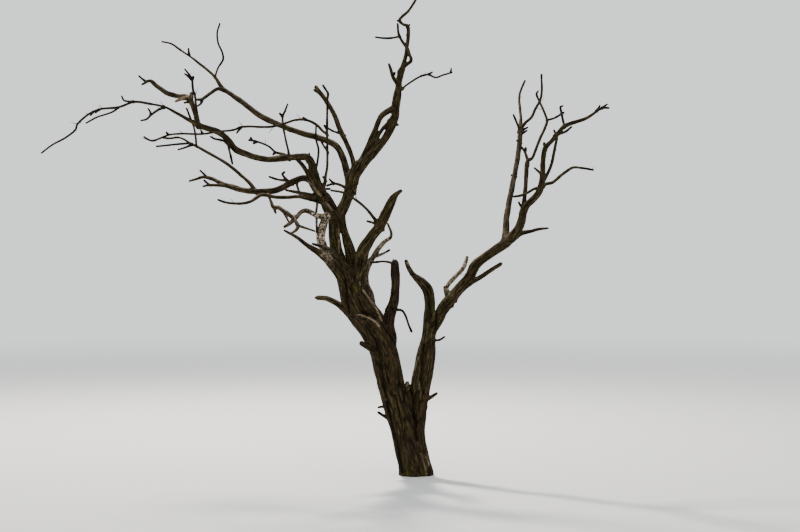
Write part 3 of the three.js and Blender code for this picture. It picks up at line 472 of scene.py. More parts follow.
# Every limb of the source, in millimetres. It grows on another limb, or from a depth of its own. Its way is
# its stations on the sheet, (across, up, thick), and its lean is how far behind its root it lies, at even
# steps. Its parts are its nodes, each with the station where it starts. A shoot may grow off another shoot of
# the limb, or start nearer to the onlooker than the limb's middle.
LIMBS = {
    "left": dict(
        bark="trunk", depth=0,
        way=[(-8, -80, 214), (-20, 60, 212), (-55, 200, 206), (-100, 400, 196), (-160, 600, 208),
            (-205, 810, 224), (-252, 1000, 224), (-350, 1215, 232), (-440, 1330, 212),
            (-490, 1450, 204), (-512, 1580, 150), (-522, 1650, 70)],
        lean=[-60],
        parts=dict(trunk=0, stem_left=5),
        shoots=[
            dict(way=[(-180, 430, 28), (-240, 470, 22), (-292, 503, 14)], lean=-20),
            dict(way=[(-200, 530, 20), (-258, 546, 14), (-290, 541, 9)], lean=10),
            dict(way=[(-264, 920, 24), (-289, 957, 38), (-330, 990, 42), (-367, 1018, 42),
                (-425, 1054, 37)], lean=0, near=92),
            dict(way=[(-340, 1050, 60), (-385, 1130, 80), (-440, 1205, 88), (-500, 1272, 76),
                (-545, 1312, 60)], lean=0),
        ],
    ),
    "right": dict(
        bark="trunk", depth=15,
        way=[(64, -80, 182), (60, 20, 180), (46, 130, 156), (25, 320, 124), (30, 440, 132),
            (35, 560, 138), (48, 700, 156), (68, 810, 168), (94, 980, 148), (112, 1110, 108),
            (119, 1250, 94), (121, 1390, 84), (104, 1480, 88), (55, 1545, 76), (0, 1592, 50),
            (-45, 1655, 36), (-68, 1712, 26)],
        lean=(0, 60, 330),
        parts=dict(trunk=0, stem_right=7, bough_right_broken=11),
        broken=True,
        shoots=[
            dict(way=[(-20, 500, 100), (-38, 610, 90), (-52, 690, 60), (-60, 738, 26)], lean=0),
            dict(way=[(60, 590, 34), (105, 608, 30), (178, 653, 16)], lean=-20),
            dict(way=[(130, 1078, 16), (200, 1081, 11), (241, 1106, 7)], lean=15),
        ],
    ),
    "stub": dict(
        on="left", bark="red",
        way=[(-180, 1030, 70), (-190, 1110, 98), (-206, 1200, 98), (-195, 1300, 94),
            (-162, 1400, 78), (-151, 1500, 70), (-152, 1600, 72), (-158, 1700, 60)],
        lean=[-170],
        parts=dict(bough_stub=0),
        broken=True,
    ),
    "centre": dict(
        on="left", bark="olive",
        way=[(-470, 1470, 130), (-446, 1600, 106), (-430, 1700, 104), (-405, 1800, 98),
            (-345, 1900, 88), (-275, 2000, 80), (-228, 2090, 76), (-180, 2195, 64), (-158, 2236, 38),
            (-110, 2275, 18)],
        lean=[-330],
        parts=dict(bough_centre=0),
        shoots=[dict(way=[(-300, 2000, 22), (-340, 2020, 13), (-380, 2031, 8)], lean=-40)],
    ),
    "back": dict(
        on="left", bark="olive",
        way=[(-335, 1280, 66), (-350, 1420, 60), (-392, 1540, 56), (-386, 1625, 48),
            (-345, 1720, 42), (-300, 1795, 38), (-235, 1870, 32), (-192, 1900, 24), (-186, 1935, 18),
            (-215, 2012, 12)],
        lean=[150, 260],
        parts=dict(bough_back=0),
        shoots=[dict(way=[(-330, 1740, 24), (-250, 1772, 14), (-200, 1800, 9)], lean=40)],
    ),
    "leader": dict(
        on="left", bark="olive",
        way=[(-515, 1430, 150), (-562, 1570, 122), (-597, 1700, 106), (-630, 1810, 92),
            (-644, 1930, 90), (-634, 2030, 96), (-588, 2110, 96), (-542, 2200, 90),
            (-508, 2300, 100), (-482, 2395, 98), (-436, 2480, 98)],
        lean=[60, 210],
        parts=dict(leader=0),
        shoots=[
            dict(way=[(-476, 1660, 88), (-506, 1755, 90), (-530, 1850, 80), (-554, 1930, 60),
                (-568, 2000, 46), (-572, 2060, 40), (-576, 2120, 30)], lean=60),
        ],
    ),
    "top": dict(
        on="leader", bark="olive",
        way=[(-455, 2445, 90), (-390, 2515, 80), (-315, 2592, 68), (-243, 2680, 60),
            (-192, 2770, 62), (-160, 2850, 58), (-152, 2940, 66), (-137, 3030, 62),
            (-130, 3110, 46), (-117, 3190, 48), (-98, 3250, 44)],
        lean=[170],
        parts=dict(leader_top=0),
        shoots=[
            dict(way=[(-440, 2470, 60), (-382, 2600, 46), (-340, 2700, 42), (-310, 2767, 40),
                (-285, 2833, 40), (-262, 2874, 42), (-225, 2902, 44), (-165, 2938, 48)], lean=100),
            dict(way=[(-335, 2610, 28), (-300, 2690, 26), (-261, 2762, 26), (-214, 2815, 24),
                (-178, 2870, 20)], lean=60),
            dict(way=[(-165, 2815, 34), (-132, 2800, 14)], lean=-10),
            dict(way=[(-132, 3130, 34), (-170, 3180, 26), (-190, 3245, 22), (-205, 3287, 15)], lean=-60),
            dict(way=[(-178, 3196, 12), (-158, 3216, 6)], lean=0, off=3),
        ],
    ),
    "crown": dict(
        on="top", bark="twig",
        way=[(-102, 3236, 42), (-86, 3290, 36), (-72, 3350, 28), (-60, 3420, 27), (-49, 3550, 26),
            (-56, 3592, 23), (-95, 3606, 18), (-122, 3636, 18), (-50, 3712, 17), (8, 3800, 15),
            (48, 3880, 11), (70, 3935, 6)],
        lean=[160],
        parts=dict(twigs_top=0),
        shoots=[
            dict(way=[(-105, 3250, 30), (-60, 3285, 24), (-28, 3318, 24), (-42, 3370, 20),
                (-64, 3425, 22), (-98, 3468, 18), (-126, 3525, 16), (-135, 3610, 8)], lean=40),
            dict(way=[(-122, 3508, 12), (-180, 3496, 10), (-250, 3495, 8), (-312, 3503, 5)],
                lean=-70, off=0),
            dict(way=[(-118, 3632, 16), (-138, 3634, 8)], lean=0),
            dict(way=[(-54, 3588, 14), (-38, 3603, 6)], lean=0),
        ],
    ),
    "leaderRight": dict(
        on="top", bark="twig",
        way=[(-128, 3060, 16), (-75, 3110, 12), (0, 3163, 11), (60, 3194, 10), (110, 3202, 8),
            (170, 3180, 6), (230, 3200, 5), (300, 3220, 4)],
        lean=[120, 320],
        parts=dict(twigs_leader_right=0),
        shoots=[
            dict(way=[(110, 3203, 6), (143, 3223, 4)], lean=15),
            dict(way=[(290, 3220, 4), (294, 3252, 3)], lean=10),
        ],
    ),
    "leaderLeft": dict(
        on="leader", bark="twig",
        way=[(-530, 2285, 24), (-590, 2318, 17), (-640, 2330, 15), (-700, 2316, 10)],
        lean=[-60],
        parts=dict(twigs_leader_left=0),
        shoots=[dict(way=[(-640, 2326, 9), (-660, 2345, 8), (-682, 2368, 5)], lean=20)],
    ),
    "high": dict(
        on="leader", bark="olive",
        way=[(-478, 2400, 60), (-491, 2512, 38), (-538, 2640, 36), (-596, 2763, 36),
            (-646, 2891, 34), (-712, 3000, 34), (-765, 3072, 32), (-789, 3106, 26)],
        lean=[420],
        parts=dict(bough_broken_high=0),
        broken=True,
        shoots=[
            dict(way=[(-582, 2728, 16), (-660, 2755, 10), (-721, 2796, 6)], lean=50),
            dict(way=[(-752, 3052, 24), (-784, 3070, 20), (-803, 3080, 14)], lean=-10),
        ],
    ),
    "farLeft": dict(
        on="leader", bark="olive",
        way=[(-510, 2330, 84), (-545, 2440, 58), (-578, 2545, 52), (-628, 2632, 50),
            (-710, 2678, 48), (-895, 2733, 44), (-1040, 2783, 44), (-1250, 2884, 42),
            (-1330, 2945, 40), (-1450, 3035, 36), (-1534, 3092, 32), (-1600, 3188, 19),
            (-1720, 3290, 15), (-1800, 3352, 12), (-1880, 3405, 9), (-1945, 3450, 7),
            (-2020, 3467, 5)],
        lean=[1290],
        parts=dict(bough_back_rise=0, bough_back_reach=3, twigs_back_tip=10),
        shoots=[
            dict(way=[(-1803, 3354, 8), (-1808, 3412, 5)], lean=0),
            dict(way=[(-1597, 3182, 12), (-1572, 3255, 9), (-1532, 3325, 8), (-1535, 3370, 7),
                (-1572, 3460, 6), (-1578, 3540, 5), (-1558, 3612, 4)], lean=-220),
        ],
    ),
    "farLeftSide": dict(
        on="farLeft", bark="olive",
        way=[(-1510, 3072, 32), (-1575, 3088, 24), (-1640, 3048, 23), (-1700, 3006, 22),
            (-1748, 3003, 15)],
        lean=[-260],
        parts=dict(twigs_back_side=0),
        shoots=[dict(way=[(-1700, 2998, 8), (-1712, 2968, 6), (-1765, 2938, 4)], lean=-30)],
    ),
    "front": dict(
        on="leader", bark="olive",
        way=[(-612, 2010, 104), (-668, 2120, 108), (-712, 2205, 104), (-756, 2270, 94),
            (-786, 2340, 82), (-804, 2410, 76), (-825, 2490, 66), (-865, 2540, 58),
            (-930, 2542, 52), (-1000, 2540, 50),
            (-1200, 2527, 46), (-1330, 2562, 48), (-1430, 2605, 50), (-1490, 2680, 48),
            (-1560, 2738, 46), (-1720, 2797, 44), (-1800, 2838, 28), (-1900, 2893, 20),
            (-2000, 2945, 15), (-2120, 2970, 12), (-2240, 2985, 11), (-2370, 2942, 10),
            (-2520, 2925, 9), (-2620, 2878, 9), (-2700, 2800, 8), (-2710, 2765, 8),
            (-2790, 2700, 7), (-2900, 2640, 6), (-2985, 2575, 4)],
        lean=[-420, -920, -1260, -1400],
        parts=dict(
            bough_front_rise=0,
            bough_front_reach=7,
            bough_front_end=12,
            twigs_front_tip=16,
        ),
        shoots=[
            dict(way=[(-852, 2530, 20), (-842, 2572, 8)], lean=0),
            dict(way=[(-690, 2140, 30), (-790, 2262, 28), (-836, 2345, 32), (-854, 2410, 32),
                (-895, 2478, 31), (-930, 2514, 26), (-956, 2538, 18)], lean=-235),
            dict(way=[(-795, 2430, 22), (-781, 2480, 11), (-768, 2600, 9), (-788, 2690, 8),
                (-788, 2790, 5)], lean=20),
            dict(way=[(-765, 2235, 34), (-805, 2238, 29), (-870, 2248, 26), (-940, 2262, 22),
                (-1028, 2279, 11)], lean=-110),
            dict(way=[(-765, 2284, 20), (-700, 2288, 13), (-676, 2288, 8)], lean=-40),
            dict(way=[(-2245, 2985, 8), (-2325, 2998, 6), (-2342, 3032, 4)], lean=40),
            dict(way=[(-2370, 2942, 7), (-2410, 2908, 6), (-2540, 2862, 5), (-2628, 2815, 4)], lean=90),
            dict(way=[(-2520, 2925, 5), (-2552, 2898, 4)], lean=-15),
            dict(way=[(-2568, 2908, 5), (-2592, 2876, 4)], lean=15),
            dict(way=[(-2000, 2945, 13), (-2060, 2915, 11), (-2110, 2878, 9), (-2145, 2845, 7),
                (-2188, 2836, 5)], lean=130),
            dict(way=[(-2108, 2878, 7), (-2114, 2905, 6), (-2132, 2932, 4)], lean=10, off=9),
        ],
    ),
    "frontUpright": dict(
        on="front", bark="olive",
        way=[(-1735, 2795, 48), (-1748, 2870, 38), (-1768, 2935, 34), (-1789, 2995, 36),
            (-1830, 3026, 34), (-1880, 3030, 34), (-1920, 3037, 38), (-2000, 3066, 37),
            (-2062, 3113, 32), (-2112, 3152, 24), (-2150, 3150, 15), (-2172, 3165, 10),
            (-2205, 3192, 6)],
        lean=[180, 420],
        parts=dict(bough_front_upright=0, twigs_front_upright=9),
        shoots=[
            dict(way=[(-1800, 3010, 30), (-1845, 3012, 26), (-1880, 3002, 18), (-1910, 2989, 13)], lean=-45),
            dict(way=[(-1788, 2992, 32), (-1785, 3030, 30), (-1781, 3052, 26)], lean=-10),
            dict(way=[(-1790, 2990, 10), (-1842, 2977, 5)], lean=30),
            dict(way=[(-2128, 3150, 12), (-2180, 3124, 7)], lean=-30),
        ],
    ),
    "frontRod": dict(
        on="front", bark="twig",
        way=[(-1722, 2797, 24), (-1737, 2880, 16), (-1747, 2950, 12), (-1753, 3000, 12),
            (-1756, 3035, 14), (-1770, 3075, 11), (-1776, 3120, 11), (-1780, 3165, 11),
            (-1800, 3200, 9), (-1822, 3228, 6), (-1838, 3247, 4)],
        lean=[-90],
        parts=dict(twigs_front_rod=0),
        shoots=[
            dict(way=[(-1781, 3165, 9), (-1769, 3185, 8)], lean=5),
            dict(way=[(-1782, 3168, 9), (-1812, 3191, 8), (-1838, 3210, 5)], lean=20),
        ],
    ),
    "frontFork": dict(
        on="front", bark="twig",
        way=[(-1002, 2535, 26), (-1010, 2595, 14), (-1030, 2682, 12), (-1048, 2772, 12),
            (-1054, 2866, 12), (-1035, 2915, 8), (-1014, 2968, 4)],
        lean=[-120],
        parts=dict(twigs_front_fork=0),
        shoots=[dict(way=[(-1054, 2868, 9), (-1078, 2893, 7)], lean=-10)],
    ),
    "frontMid": dict(
        on="front", bark="twig",
        way=[(-985, 2540, 26), (-1050, 2566, 18), (-1110, 2582, 14), (-1165, 2628, 12),
            (-1210, 2650, 12), (-1265, 2668, 12), (-1325, 2680, 9)],
        lean=[150],
        parts=dict(twigs_front_mid=0),
        shoots=[
            dict(way=[(-1112, 2585, 9), (-1132, 2563, 6)], lean=-10),
            dict(way=[(-1265, 2668, 9), (-1288, 2652, 6)], lean=10),
            dict(way=[(-1303, 2677, 7), (-1310, 2700, 5)], lean=0),
        ],
    ),
    "frontHanging": dict(
        on="front", bark="twig",
        way=[(-1495, 2684, 24), (-1488, 2630, 15), (-1470, 2550, 13), (-1456, 2488, 7)],
        lean=[-40],
        parts=dict(twigs_front_hanging=0),
        shoots=[
            dict(way=[(-1489, 2634, 13), (-1525, 2672, 10), (-1600, 2690, 8), (-1632, 2707, 5)],
                lean=50),
        ],
    ),
    "rod": dict(
        on="front", bark="twig",
        way=[(-760, 2262, 34), (-722, 2320, 24), (-712, 2390, 20), (-700, 2450, 16),
            (-697, 2600, 15), (-700, 2750, 16), (-698, 2900, 14), (-697, 3000, 14), (-693, 3052, 17),
            (-711, 3084, 12), (-733, 3118, 8)],
        lean=[-200],
        parts=dict(bough_rod=0),
        shoots=[
            dict(way=[(-716, 2366, 16), (-733, 2386, 8)], lean=-10),
            dict(way=[(-700, 2596, 14), (-728, 2635, 13), (-757, 2694, 9)], lean=-40),
            dict(way=[(-698, 2770, 12), (-724, 2797, 6)], lean=10),
        ],
    ),
    "level": dict(
        on="rod", bark="twig",
        way=[(-699, 2725, 18), (-735, 2752, 18), (-775, 2795, 18), (-830, 2828, 17),
            (-885, 2843, 16), (-960, 2838, 15), (-1040, 2812, 14), (-1150, 2786, 14),
            (-1385, 2784, 14), (-1440, 2762, 13), (-1560, 2748, 12), (-1700, 2728, 12),
            (-1850, 2730, 12), (-1960, 2722, 11), (-2095, 2674, 10), (-2135, 2686, 8),
            (-2165, 2706, 5)],
        lean=[100, 340],
        parts=dict(twigs_level=0),
        shoots=[
            dict(way=[(-1390, 2782, 9), (-1422, 2735, 5)], lean=-15),
            dict(way=[(-1695, 2728, 7), (-1708, 2757, 4)], lean=10),
            dict(way=[(-870, 2840, 9), (-892, 2860, 5)], lean=10),
            dict(way=[(-1970, 2720, 6), (-1985, 2742, 4)], lean=-10),
        ],
    ),
    "low": dict(
        on="front", bark="olive",
        way=[(-765, 2262, 56), (-815, 2335, 52), (-880, 2376, 52), (-950, 2357, 50),
            (-1050, 2302, 50), (-1120, 2277, 49), (-1250, 2268, 46), (-1390, 2283, 43),
            (-1480, 2310, 38), (-1560, 2340, 31), (-1630, 2374, 26), (-1690, 2384, 21),
            (-1750, 2366, 16), (-1800, 2352, 11)],
        lean=[140, 520],
        parts=dict(bough_low=0, twigs_low_tip=8),
        shoots=[
            dict(way=[(-940, 2345, 20), (-940, 2318, 16), (-927, 2278, 14), (-915, 2234, 11)], lean=-30),
            dict(way=[(-1490, 2312, 24), (-1590, 2318, 20), (-1645, 2320, 17), (-1690, 2309, 10)], lean=60),
            dict(way=[(-1640, 2320, 15), (-1666, 2342, 12), (-1684, 2358, 7)], lean=-20, off=1),
            dict(way=[(-1655, 2380, 11), (-1690, 2412, 8), (-1716, 2437, 5)], lean=15),
        ],
    ),
    "lowCurl": dict(
        on="low", bark="twig",
        way=[(-980, 2328, 24), (-1002, 2346, 18), (-1040, 2354, 15), (-1095, 2364, 13),
            (-1162, 2386, 8)],
        lean=[-80],
        parts=dict(twigs_low_curl=0),
        shoots=[dict(way=[(-1004, 2347, 16), (-1038, 2378, 14), (-1057, 2406, 12),
                (-1040, 2425, 8)], lean=-30)],
    ),
    "lowRise": dict(
        on="low", bark="olive",
        way=[(-1270, 2264, 36), (-1310, 2325, 26), (-1390, 2400, 24), (-1500, 2490, 22),
            (-1640, 2572, 20), (-1740, 2628, 18), (-1790, 2652, 14), (-1850, 2688, 11),
            (-1890, 2700, 10), (-1950, 2694, 9), (-2012, 2697, 6)],
        lean=[200, 480],
        parts=dict(bough_low_rise=0, twigs_low_rise=5),
        shoots=[
            dict(way=[(-1795, 2654, 11), (-1850, 2650, 9), (-1950, 2641, 8), (-2066, 2628, 5)], lean=60),
            dict(way=[(-1775, 2646, 10), (-1830, 2622, 7), (-1892, 2602, 4)], lean=-60),
            dict(way=[(-1745, 2632, 12), (-1752, 2715, 11), (-1772, 2805, 10), (-1798, 2868, 8),
                (-1812, 2905, 7), (-1826, 2936, 4)], lean=-80),
        ],
    ),
    "lowFront": dict(
        on="front", bark="twig",
        way=[(-735, 2180, 40), (-790, 2196, 30), (-870, 2214, 27), (-925, 2228, 26),
            (-1010, 2222, 25), (-1100, 2222, 25), (-1180, 2238, 25), (-1230, 2240, 25),
            (-1272, 2212, 24), (-1320, 2184, 22), (-1400, 2172, 18), (-1500, 2178, 14),
            (-1572, 2202, 8)],
        lean=[-300, -640],
        parts=dict(twigs_low_front=0),
        shoots=[
            dict(way=[(-775, 2192, 18), (-784, 2120, 15), (-783, 2030, 14), (-781, 1940, 9)], lean=-170),
        ],
    ),
    "hanging": dict(
        on="lowFront", bark="twig",
        way=[(-1165, 2234, 20), (-1150, 2190, 17), (-1128, 2142, 25), (-1092, 2140, 31),
            (-1045, 2112, 32), (-998, 2078, 31), (-960, 2042, 28), (-932, 1992, 25),
            (-950, 1958, 22), (-980, 1938, 14)],
        lean=[-60],
        parts=dict(twigs_hanging=0),
        shoots=[
            dict(way=[(-1126, 2138, 20), (-1110, 2096, 14)], lean=-10),
            dict(way=[(-1060, 2120, 18), (-1035, 2080, 15), (-1008, 2030, 11)], lean=-40),
            dict(way=[(-936, 1998, 18), (-890, 1982, 17), (-798, 1951, 12)], lean=60),
        ],
    ),
    "hangingLow": dict(
        on="left", bark="olive",
        way=[(-540, 1520, 110), (-620, 1640, 92), (-692, 1722, 76), (-770, 1782, 54),
            (-850, 1832, 36), (-940, 1900, 26), (-1040, 1957, 14)],
        lean=[-420],
        parts=dict(bough_hanging=0),
    ),
    "lichen": dict(
        on="hangingLow", bark="lichen",
        way=[(-685, 1722, 68), (-722, 1800, 68), (-746, 1880, 70), (-746, 1950, 70),
            (-722, 2030, 64), (-704, 2084, 44)],
        lean=[20],
        parts=dict(bough_lichen=0),
    ),
    "lichenTip": dict(
        on="lichen", bark="lichen",
        way=[(-706, 2068, 42), (-770, 2072, 42), (-825, 2098, 38), (-872, 2114, 34),
            (-905, 2104, 32), (-942, 2064, 32), (-1000, 2012, 30), (-1040, 1986, 20)],
        lean=[-70, -200],
        parts=dict(twigs_lichen_tip=0),
    ),
    "crotch": dict(
        on="centre", bark="twig",
        way=[(-465, 1610, 28), (-528, 1660, 26), (-570, 1697, 27), (-630, 1758, 29),
            (-692, 1810, 28), (-750, 1832, 23), (-815, 1850, 14)],
        lean=[-110, -170],
        parts=dict(twigs_crotch=0),
    ),
    "stemLeft": dict(
        on="left", bark="olive",
        way=[(-520, 1300, 64), (-600, 1357, 52), (-650, 1388, 44), (-700, 1412, 38),
            (-780, 1420, 33)],
        lean=[-80],
        parts=dict(bough_stem_left=0),
        broken=True,
    ),
    "centreTwig": dict(
        on="centre", bark="twig",
        way=[(-292, 2015, 34), (-325, 2056, 22), (-390, 2134, 18), (-490, 2214, 16),
            (-560, 2256, 14), (-668, 2277, 13)],
        lean=[-90],
        parts=dict(twigs_centre=0),
    ),
    "stubLeft": dict(
        on="stub", bark="red",
        way=[(-156, 1690, 20), (-235, 1708, 13), (-350, 1699, 8)],
        lean=[190],
        parts=dict(twigs_stub_left=0),
    ),
    "stubRight": dict(
        on="stub", bark="twig",
        way=[(-180, 1322, 20), (-100, 1315, 15), (-72, 1275, 14), (-48, 1205, 13),
            (-22, 1145, 8)],
        lean=[-110],
        parts=dict(twigs_stub_right=0),
    ),
    "farRight": dict(
        on="right", bark="olive",
        way=[(122, 1100, 60), (160, 1195, 90), (228, 1330, 102), (350, 1480, 88),
            (430, 1568, 86), (480, 1668, 84), (560, 1740, 76), (762, 1886, 80), (835, 1980, 72),
            (868, 2090, 62), (900, 2155, 58), (1000, 2270, 52), (1024, 2370, 46),
            (1028, 2520, 40), (1050, 2622, 38), (1098, 2674, 32), (1145, 2732, 34), (1195, 2786, 32),
            (1380, 2858, 22), (1500, 2934, 12), (1556, 2936, 6)],
        lean=[-110, -360, -880, -1330],
        parts=dict(
            bough_right=0,
            bough_right_front=8,
            bough_right_front_end=14,
            twigs_right_front=17,
        ),
        shoots=[
            dict(way=[(282, 1395, 36), (252, 1455, 28), (240, 1503, 18)], lean=30),
            dict(way=[(790, 1900, 60), (850, 1932, 40), (930, 1950, 24), (990, 1966, 20),
                (1066, 1974, 13)], lean=120),
            dict(way=[(872, 2130, 20), (850, 2152, 14), (833, 2183, 8)], lean=20),
            dict(way=[(1024, 2390, 20), (990, 2430, 11), (960, 2457, 6)], lean=-30),
            dict(way=[(1044, 2615, 22), (1036, 2658, 9)], lean=0),
            dict(way=[(1150, 2728, 20), (1205, 2745, 14), (1256, 2785, 7)], lean=-40),
            dict(way=[(1200, 2786, 16), (1185, 2850, 12), (1174, 2905, 10), (1168, 2945, 9),
                (1187, 2952, 5)], lean=60),
            dict(way=[(1496, 2932, 8), (1540, 2966, 4)], lean=20),
            dict(way=[(1452, 2904, 10), (1470, 2932, 7), (1483, 2955, 5)], lean=-10),
        ],
    ),
    "rightStub": dict(
        on="farRight", bark="olive",
        way=[(405, 1520, 60), (520, 1578, 36), (600, 1632, 32), (690, 1688, 27)],
        lean=[-150],
        parts=dict(bough_right_stub=0),
        broken=True,
    ),
    "rightPale": dict(
        on="farRight", bark="lichen",
        way=[(305, 1425, 34), (258, 1490, 30), (313, 1575, 32), (384, 1646, 32), (412, 1705, 27),
            (422, 1745, 18)],
        lean=[70, 150],
        parts=dict(twigs_right_pale=0),
    ),
    "rightBack": dict(
        on="farRight", bark="olive",
        way=[(728, 1872, 70), (733, 1960, 54), (735, 2050, 48), (770, 2250, 42),
            (790, 2350, 40), (826, 2540, 36), (848, 2740, 38), (850, 2800, 30), (851, 2860, 20),
            (839, 3030, 13), (860, 3100, 11), (884, 3156, 6)],
        lean=[1250],
        parts=dict(bough_right_back=0, twigs_right_back=7),
        shoots=[
            dict(way=[(846, 2745, 16), (812, 2835, 12), (791, 2882, 6)], lean=30),
            dict(way=[(846, 2720, 12), (900, 2756, 6)], lean=-15),
            dict(way=[(850, 2752, 10), (905, 2780, 5)], lean=20),
            dict(way=[(800, 2390, 14), (774, 2399, 9)], lean=0),
            dict(way=[(843, 2662, 14), (818, 2675, 8)], lean=0),
        ],
    ),
    "rightBackSide": dict(
        on="rightBack", bark="twig",
        way=[(850, 2772, 28), (888, 2818, 20), (935, 2862, 19), (965, 2922, 17), (1000, 2988, 17),
            (1014, 3030, 15), (1019, 3110, 14), (1015, 3204, 9)],
        lean=[160],
        parts=dict(twigs_right_back_side=0),
    ),
    "rightMid": dict(
        on="farRight", bark="olive",
        way=[(862, 2095, 50), (877, 2190, 33), (895, 2400, 31), (905, 2512, 26), (940, 2534, 20),
            (965, 2590, 19), (1008, 2700, 18), (1045, 2780, 17), (1060, 2838, 16),
            (1035, 2910, 14), (1000, 2986, 13), (976, 3050, 10), (990, 3072, 5)],
        lean=[180, 480],
        parts=dict(bough_right_mid=0, twigs_right_mid=3),
        shoots=[
            dict(way=[(907, 2512, 20), (880, 2590, 15), (848, 2630, 8)], lean=60),
            dict(way=[(1058, 2838, 13), (1120, 2856, 12), (1195, 2902, 6)], lean=-90),
            dict(way=[(883, 2588, 9), (891, 2618, 6)], lean=5, off=0),
        ],
    ),
    "rightCross": dict(
        on="farRight", bark="twig",
        way=[(1010, 2300, 26), (960, 2290, 18), (900, 2256, 17), (850, 2236, 16), (792, 2227, 8)],
        lean=[110],
        parts=dict(twigs_right_cross=0),
    ),
    "rightInner": dict(
        on="farRight", bark="twig",
        way=[(1018, 2325, 28), (1058, 2400, 22), (1092, 2475, 20), (1112, 2560, 20),
            (1130, 2650, 18), (1140, 2700, 14), (1116, 2758, 7)],
        lean=[-40, -170],
        parts=dict(twigs_right_inner=0),
    ),
    "rightLow": dict(
        on="farRight", bark="twig",
        way=[(1012, 2310, 34), (1060, 2330, 24), (1100, 2338, 22), (1155, 2382, 20),
            (1210, 2425, 19), (1270, 2460, 17), (1340, 2456, 13), (1430, 2440, 7)],
        lean=[420],
        parts=dict(twigs_right_low=0),
    ),
}

# The record's material slot for each bark of the table.
SLOTS = {
    "trunk": "trunk_bark",
    "olive": "algae_bark",
    "red": "red_bark",
    "lichen": "lichen_bark",
    "twig": "algae_bark",
}


def seeded(seed):
    """The source's numbers from 0 to 1, the same for the same seed."""
    state = seed
    while True:
        state = (state * RANDOM_FACTOR + RANDOM_STEP) % RANDOM_RANGE
        yield state / RANDOM_RANGE


def noise(points, seed):
    """Smooth noise from about -1 to 1 that changes over about one unit. Its cells lie askew to the limbs."""
    points = points @ ASKEW + seed * NOISE_SHIFT
    cell = np.floor(points).astype(np.int64)
    part = points - cell
    fade = part**3 * (part * (part * 6 - 15) + 10)
    total = np.zeros(len(points))
    for corner in np.ndindex(2, 2, 2):
        key = (cell + corner) @ np.array(NOISE_PRIMES)
        for shift, factor in NOISE_MIXERS:
            key = ((key ^ (key >> shift)) * factor) & NOISE_BITS
        slope = np.stack([key & BYTE, (key >> 8) & BYTE, (key >> 16) & BYTE], axis=-1) / HALF_BYTE - 1
        total += (slope * (part - corner)).sum(-1) * np.prod(np.where(corner, fade, 1 - fade), axis=1)
    return total * NOISE_GAIN


def smoothstep(low, high, values):
    """A share that goes smoothly from 0 at low to 1 at high."""
    share = np.clip((values - low) / (high - low), 0, 1)
    return share * share * (3 - 2 * share)


def at(across, up, depth):
    """The place of a point of the upright sheet that is pushed to a depth."""
    reach = (EYE_DISTANCE + depth) / EYE_DISTANCE
    x = EYE_ACROSS + (across - EYE_ACROSS) * reach
    return np.stack([x, depth, EYE_HEIGHT + (up - EYE_HEIGHT) * reach], axis=-1)


def on_sheet(points):
    """Where the onlooker sees a point on the upright sheet."""
    reach = (EYE_DISTANCE + points[:, 1]) / EYE_DISTANCE
    across = EYE_ACROSS + (points[:, 0] - EYE_ACROSS) / reach
    return np.stack([across, EYE_HEIGHT + (points[:, 2] - EYE_HEIGHT) / reach], axis=-1)


def smooth_line(stations):
    """A dense centripetal curve through the stations, and each of its points' distance along it."""
    padded = np.vstack([2 * stations[0] - stations[1], stations, 2 * stations[-1] - stations[-2]])
    share = np.linspace(0, 1, CURVE_STEPS, endpoint=False)[:, None]
    runs = []
    for a, b, c, d in zip(padded, padded[1:], padded[2:], padded[3:]):
        before, here, after = (math.sqrt(np.linalg.norm(q - p)) for p, q in ((a, b), (b, c), (c, d)))
        leave = ((b - a) / before - (c - a) / (before + here) + (c - b) / here) * here
        enter = ((c - b) / here - (d - b) / (here + after) + (d - c) / after) * here
        runs.append(b + leave * share + (3 * (c - b) - 2 * leave - enter) * share**2
                    + (2 * (b - c) + leave + enter) * share**3)
    line = np.vstack([*runs, stations[-1:]])
    return line, np.concatenate([[0], np.cumsum(np.linalg.norm(np.diff(line, axis=0), axis=1))])


def framed(centres, start=(0, 1, 0)):
    """Each ring's direction along the limb, and two across it that turn as little as they can."""
    along = np.vstack([centres[1] - centres[0], centres[2:] - centres[:-2], centres[-1] - centres[-2]])
    along /= np.linalg.norm(along, axis=1, keepdims=True)
    side = np.empty_like(along)
    last = np.array(start, float)
    for i, way in enumerate(along):
        last = last - way * (last @ way)
        last /= np.linalg.norm(last)
        side[i] = last
    return along, side, np.cross(along, side)


def limb_of(centre, radius, start=(0, 1, 0), **more):
    """A limb from its rings' centres and radii, with their directions and their distance along it."""
    along, side, over = framed(centre, start)
    run = np.concatenate([[0], np.cumsum(np.linalg.norm(np.diff(centre, axis=0), axis=1))])
    return SimpleNamespace(centre=centre, radius=radius, along=along, side=side, over=over, run=run, **more)


def lay_out(way, root_depth, lean):
    """A limb's rings, FINER of them for each one of the source, along a smooth curve through its stations."""
    line, length = smooth_line(np.array(way, float) * MM)
    count = FINER * max(2, round(length[-1] / RING_STEP))
    share = np.linspace(0, 1, count + 1)
    across, up, thick = (np.interp(share * length[-1], length, line[:, k]) for k in range(3))
    steps = np.array([0, *lean]) * MM
    depth = root_depth + np.interp(share * len(lean), range(len(steps)), steps)
    whole = thick + GLARE * np.maximum(1 - thick / GLARE_GONE, 0)
    radius = whole / 2 * (EYE_DISTANCE + depth) / EYE_DISTANCE
    return limb_of(at(across, up, depth), radius, sheet=np.stack([across, up], axis=-1), depth=depth)


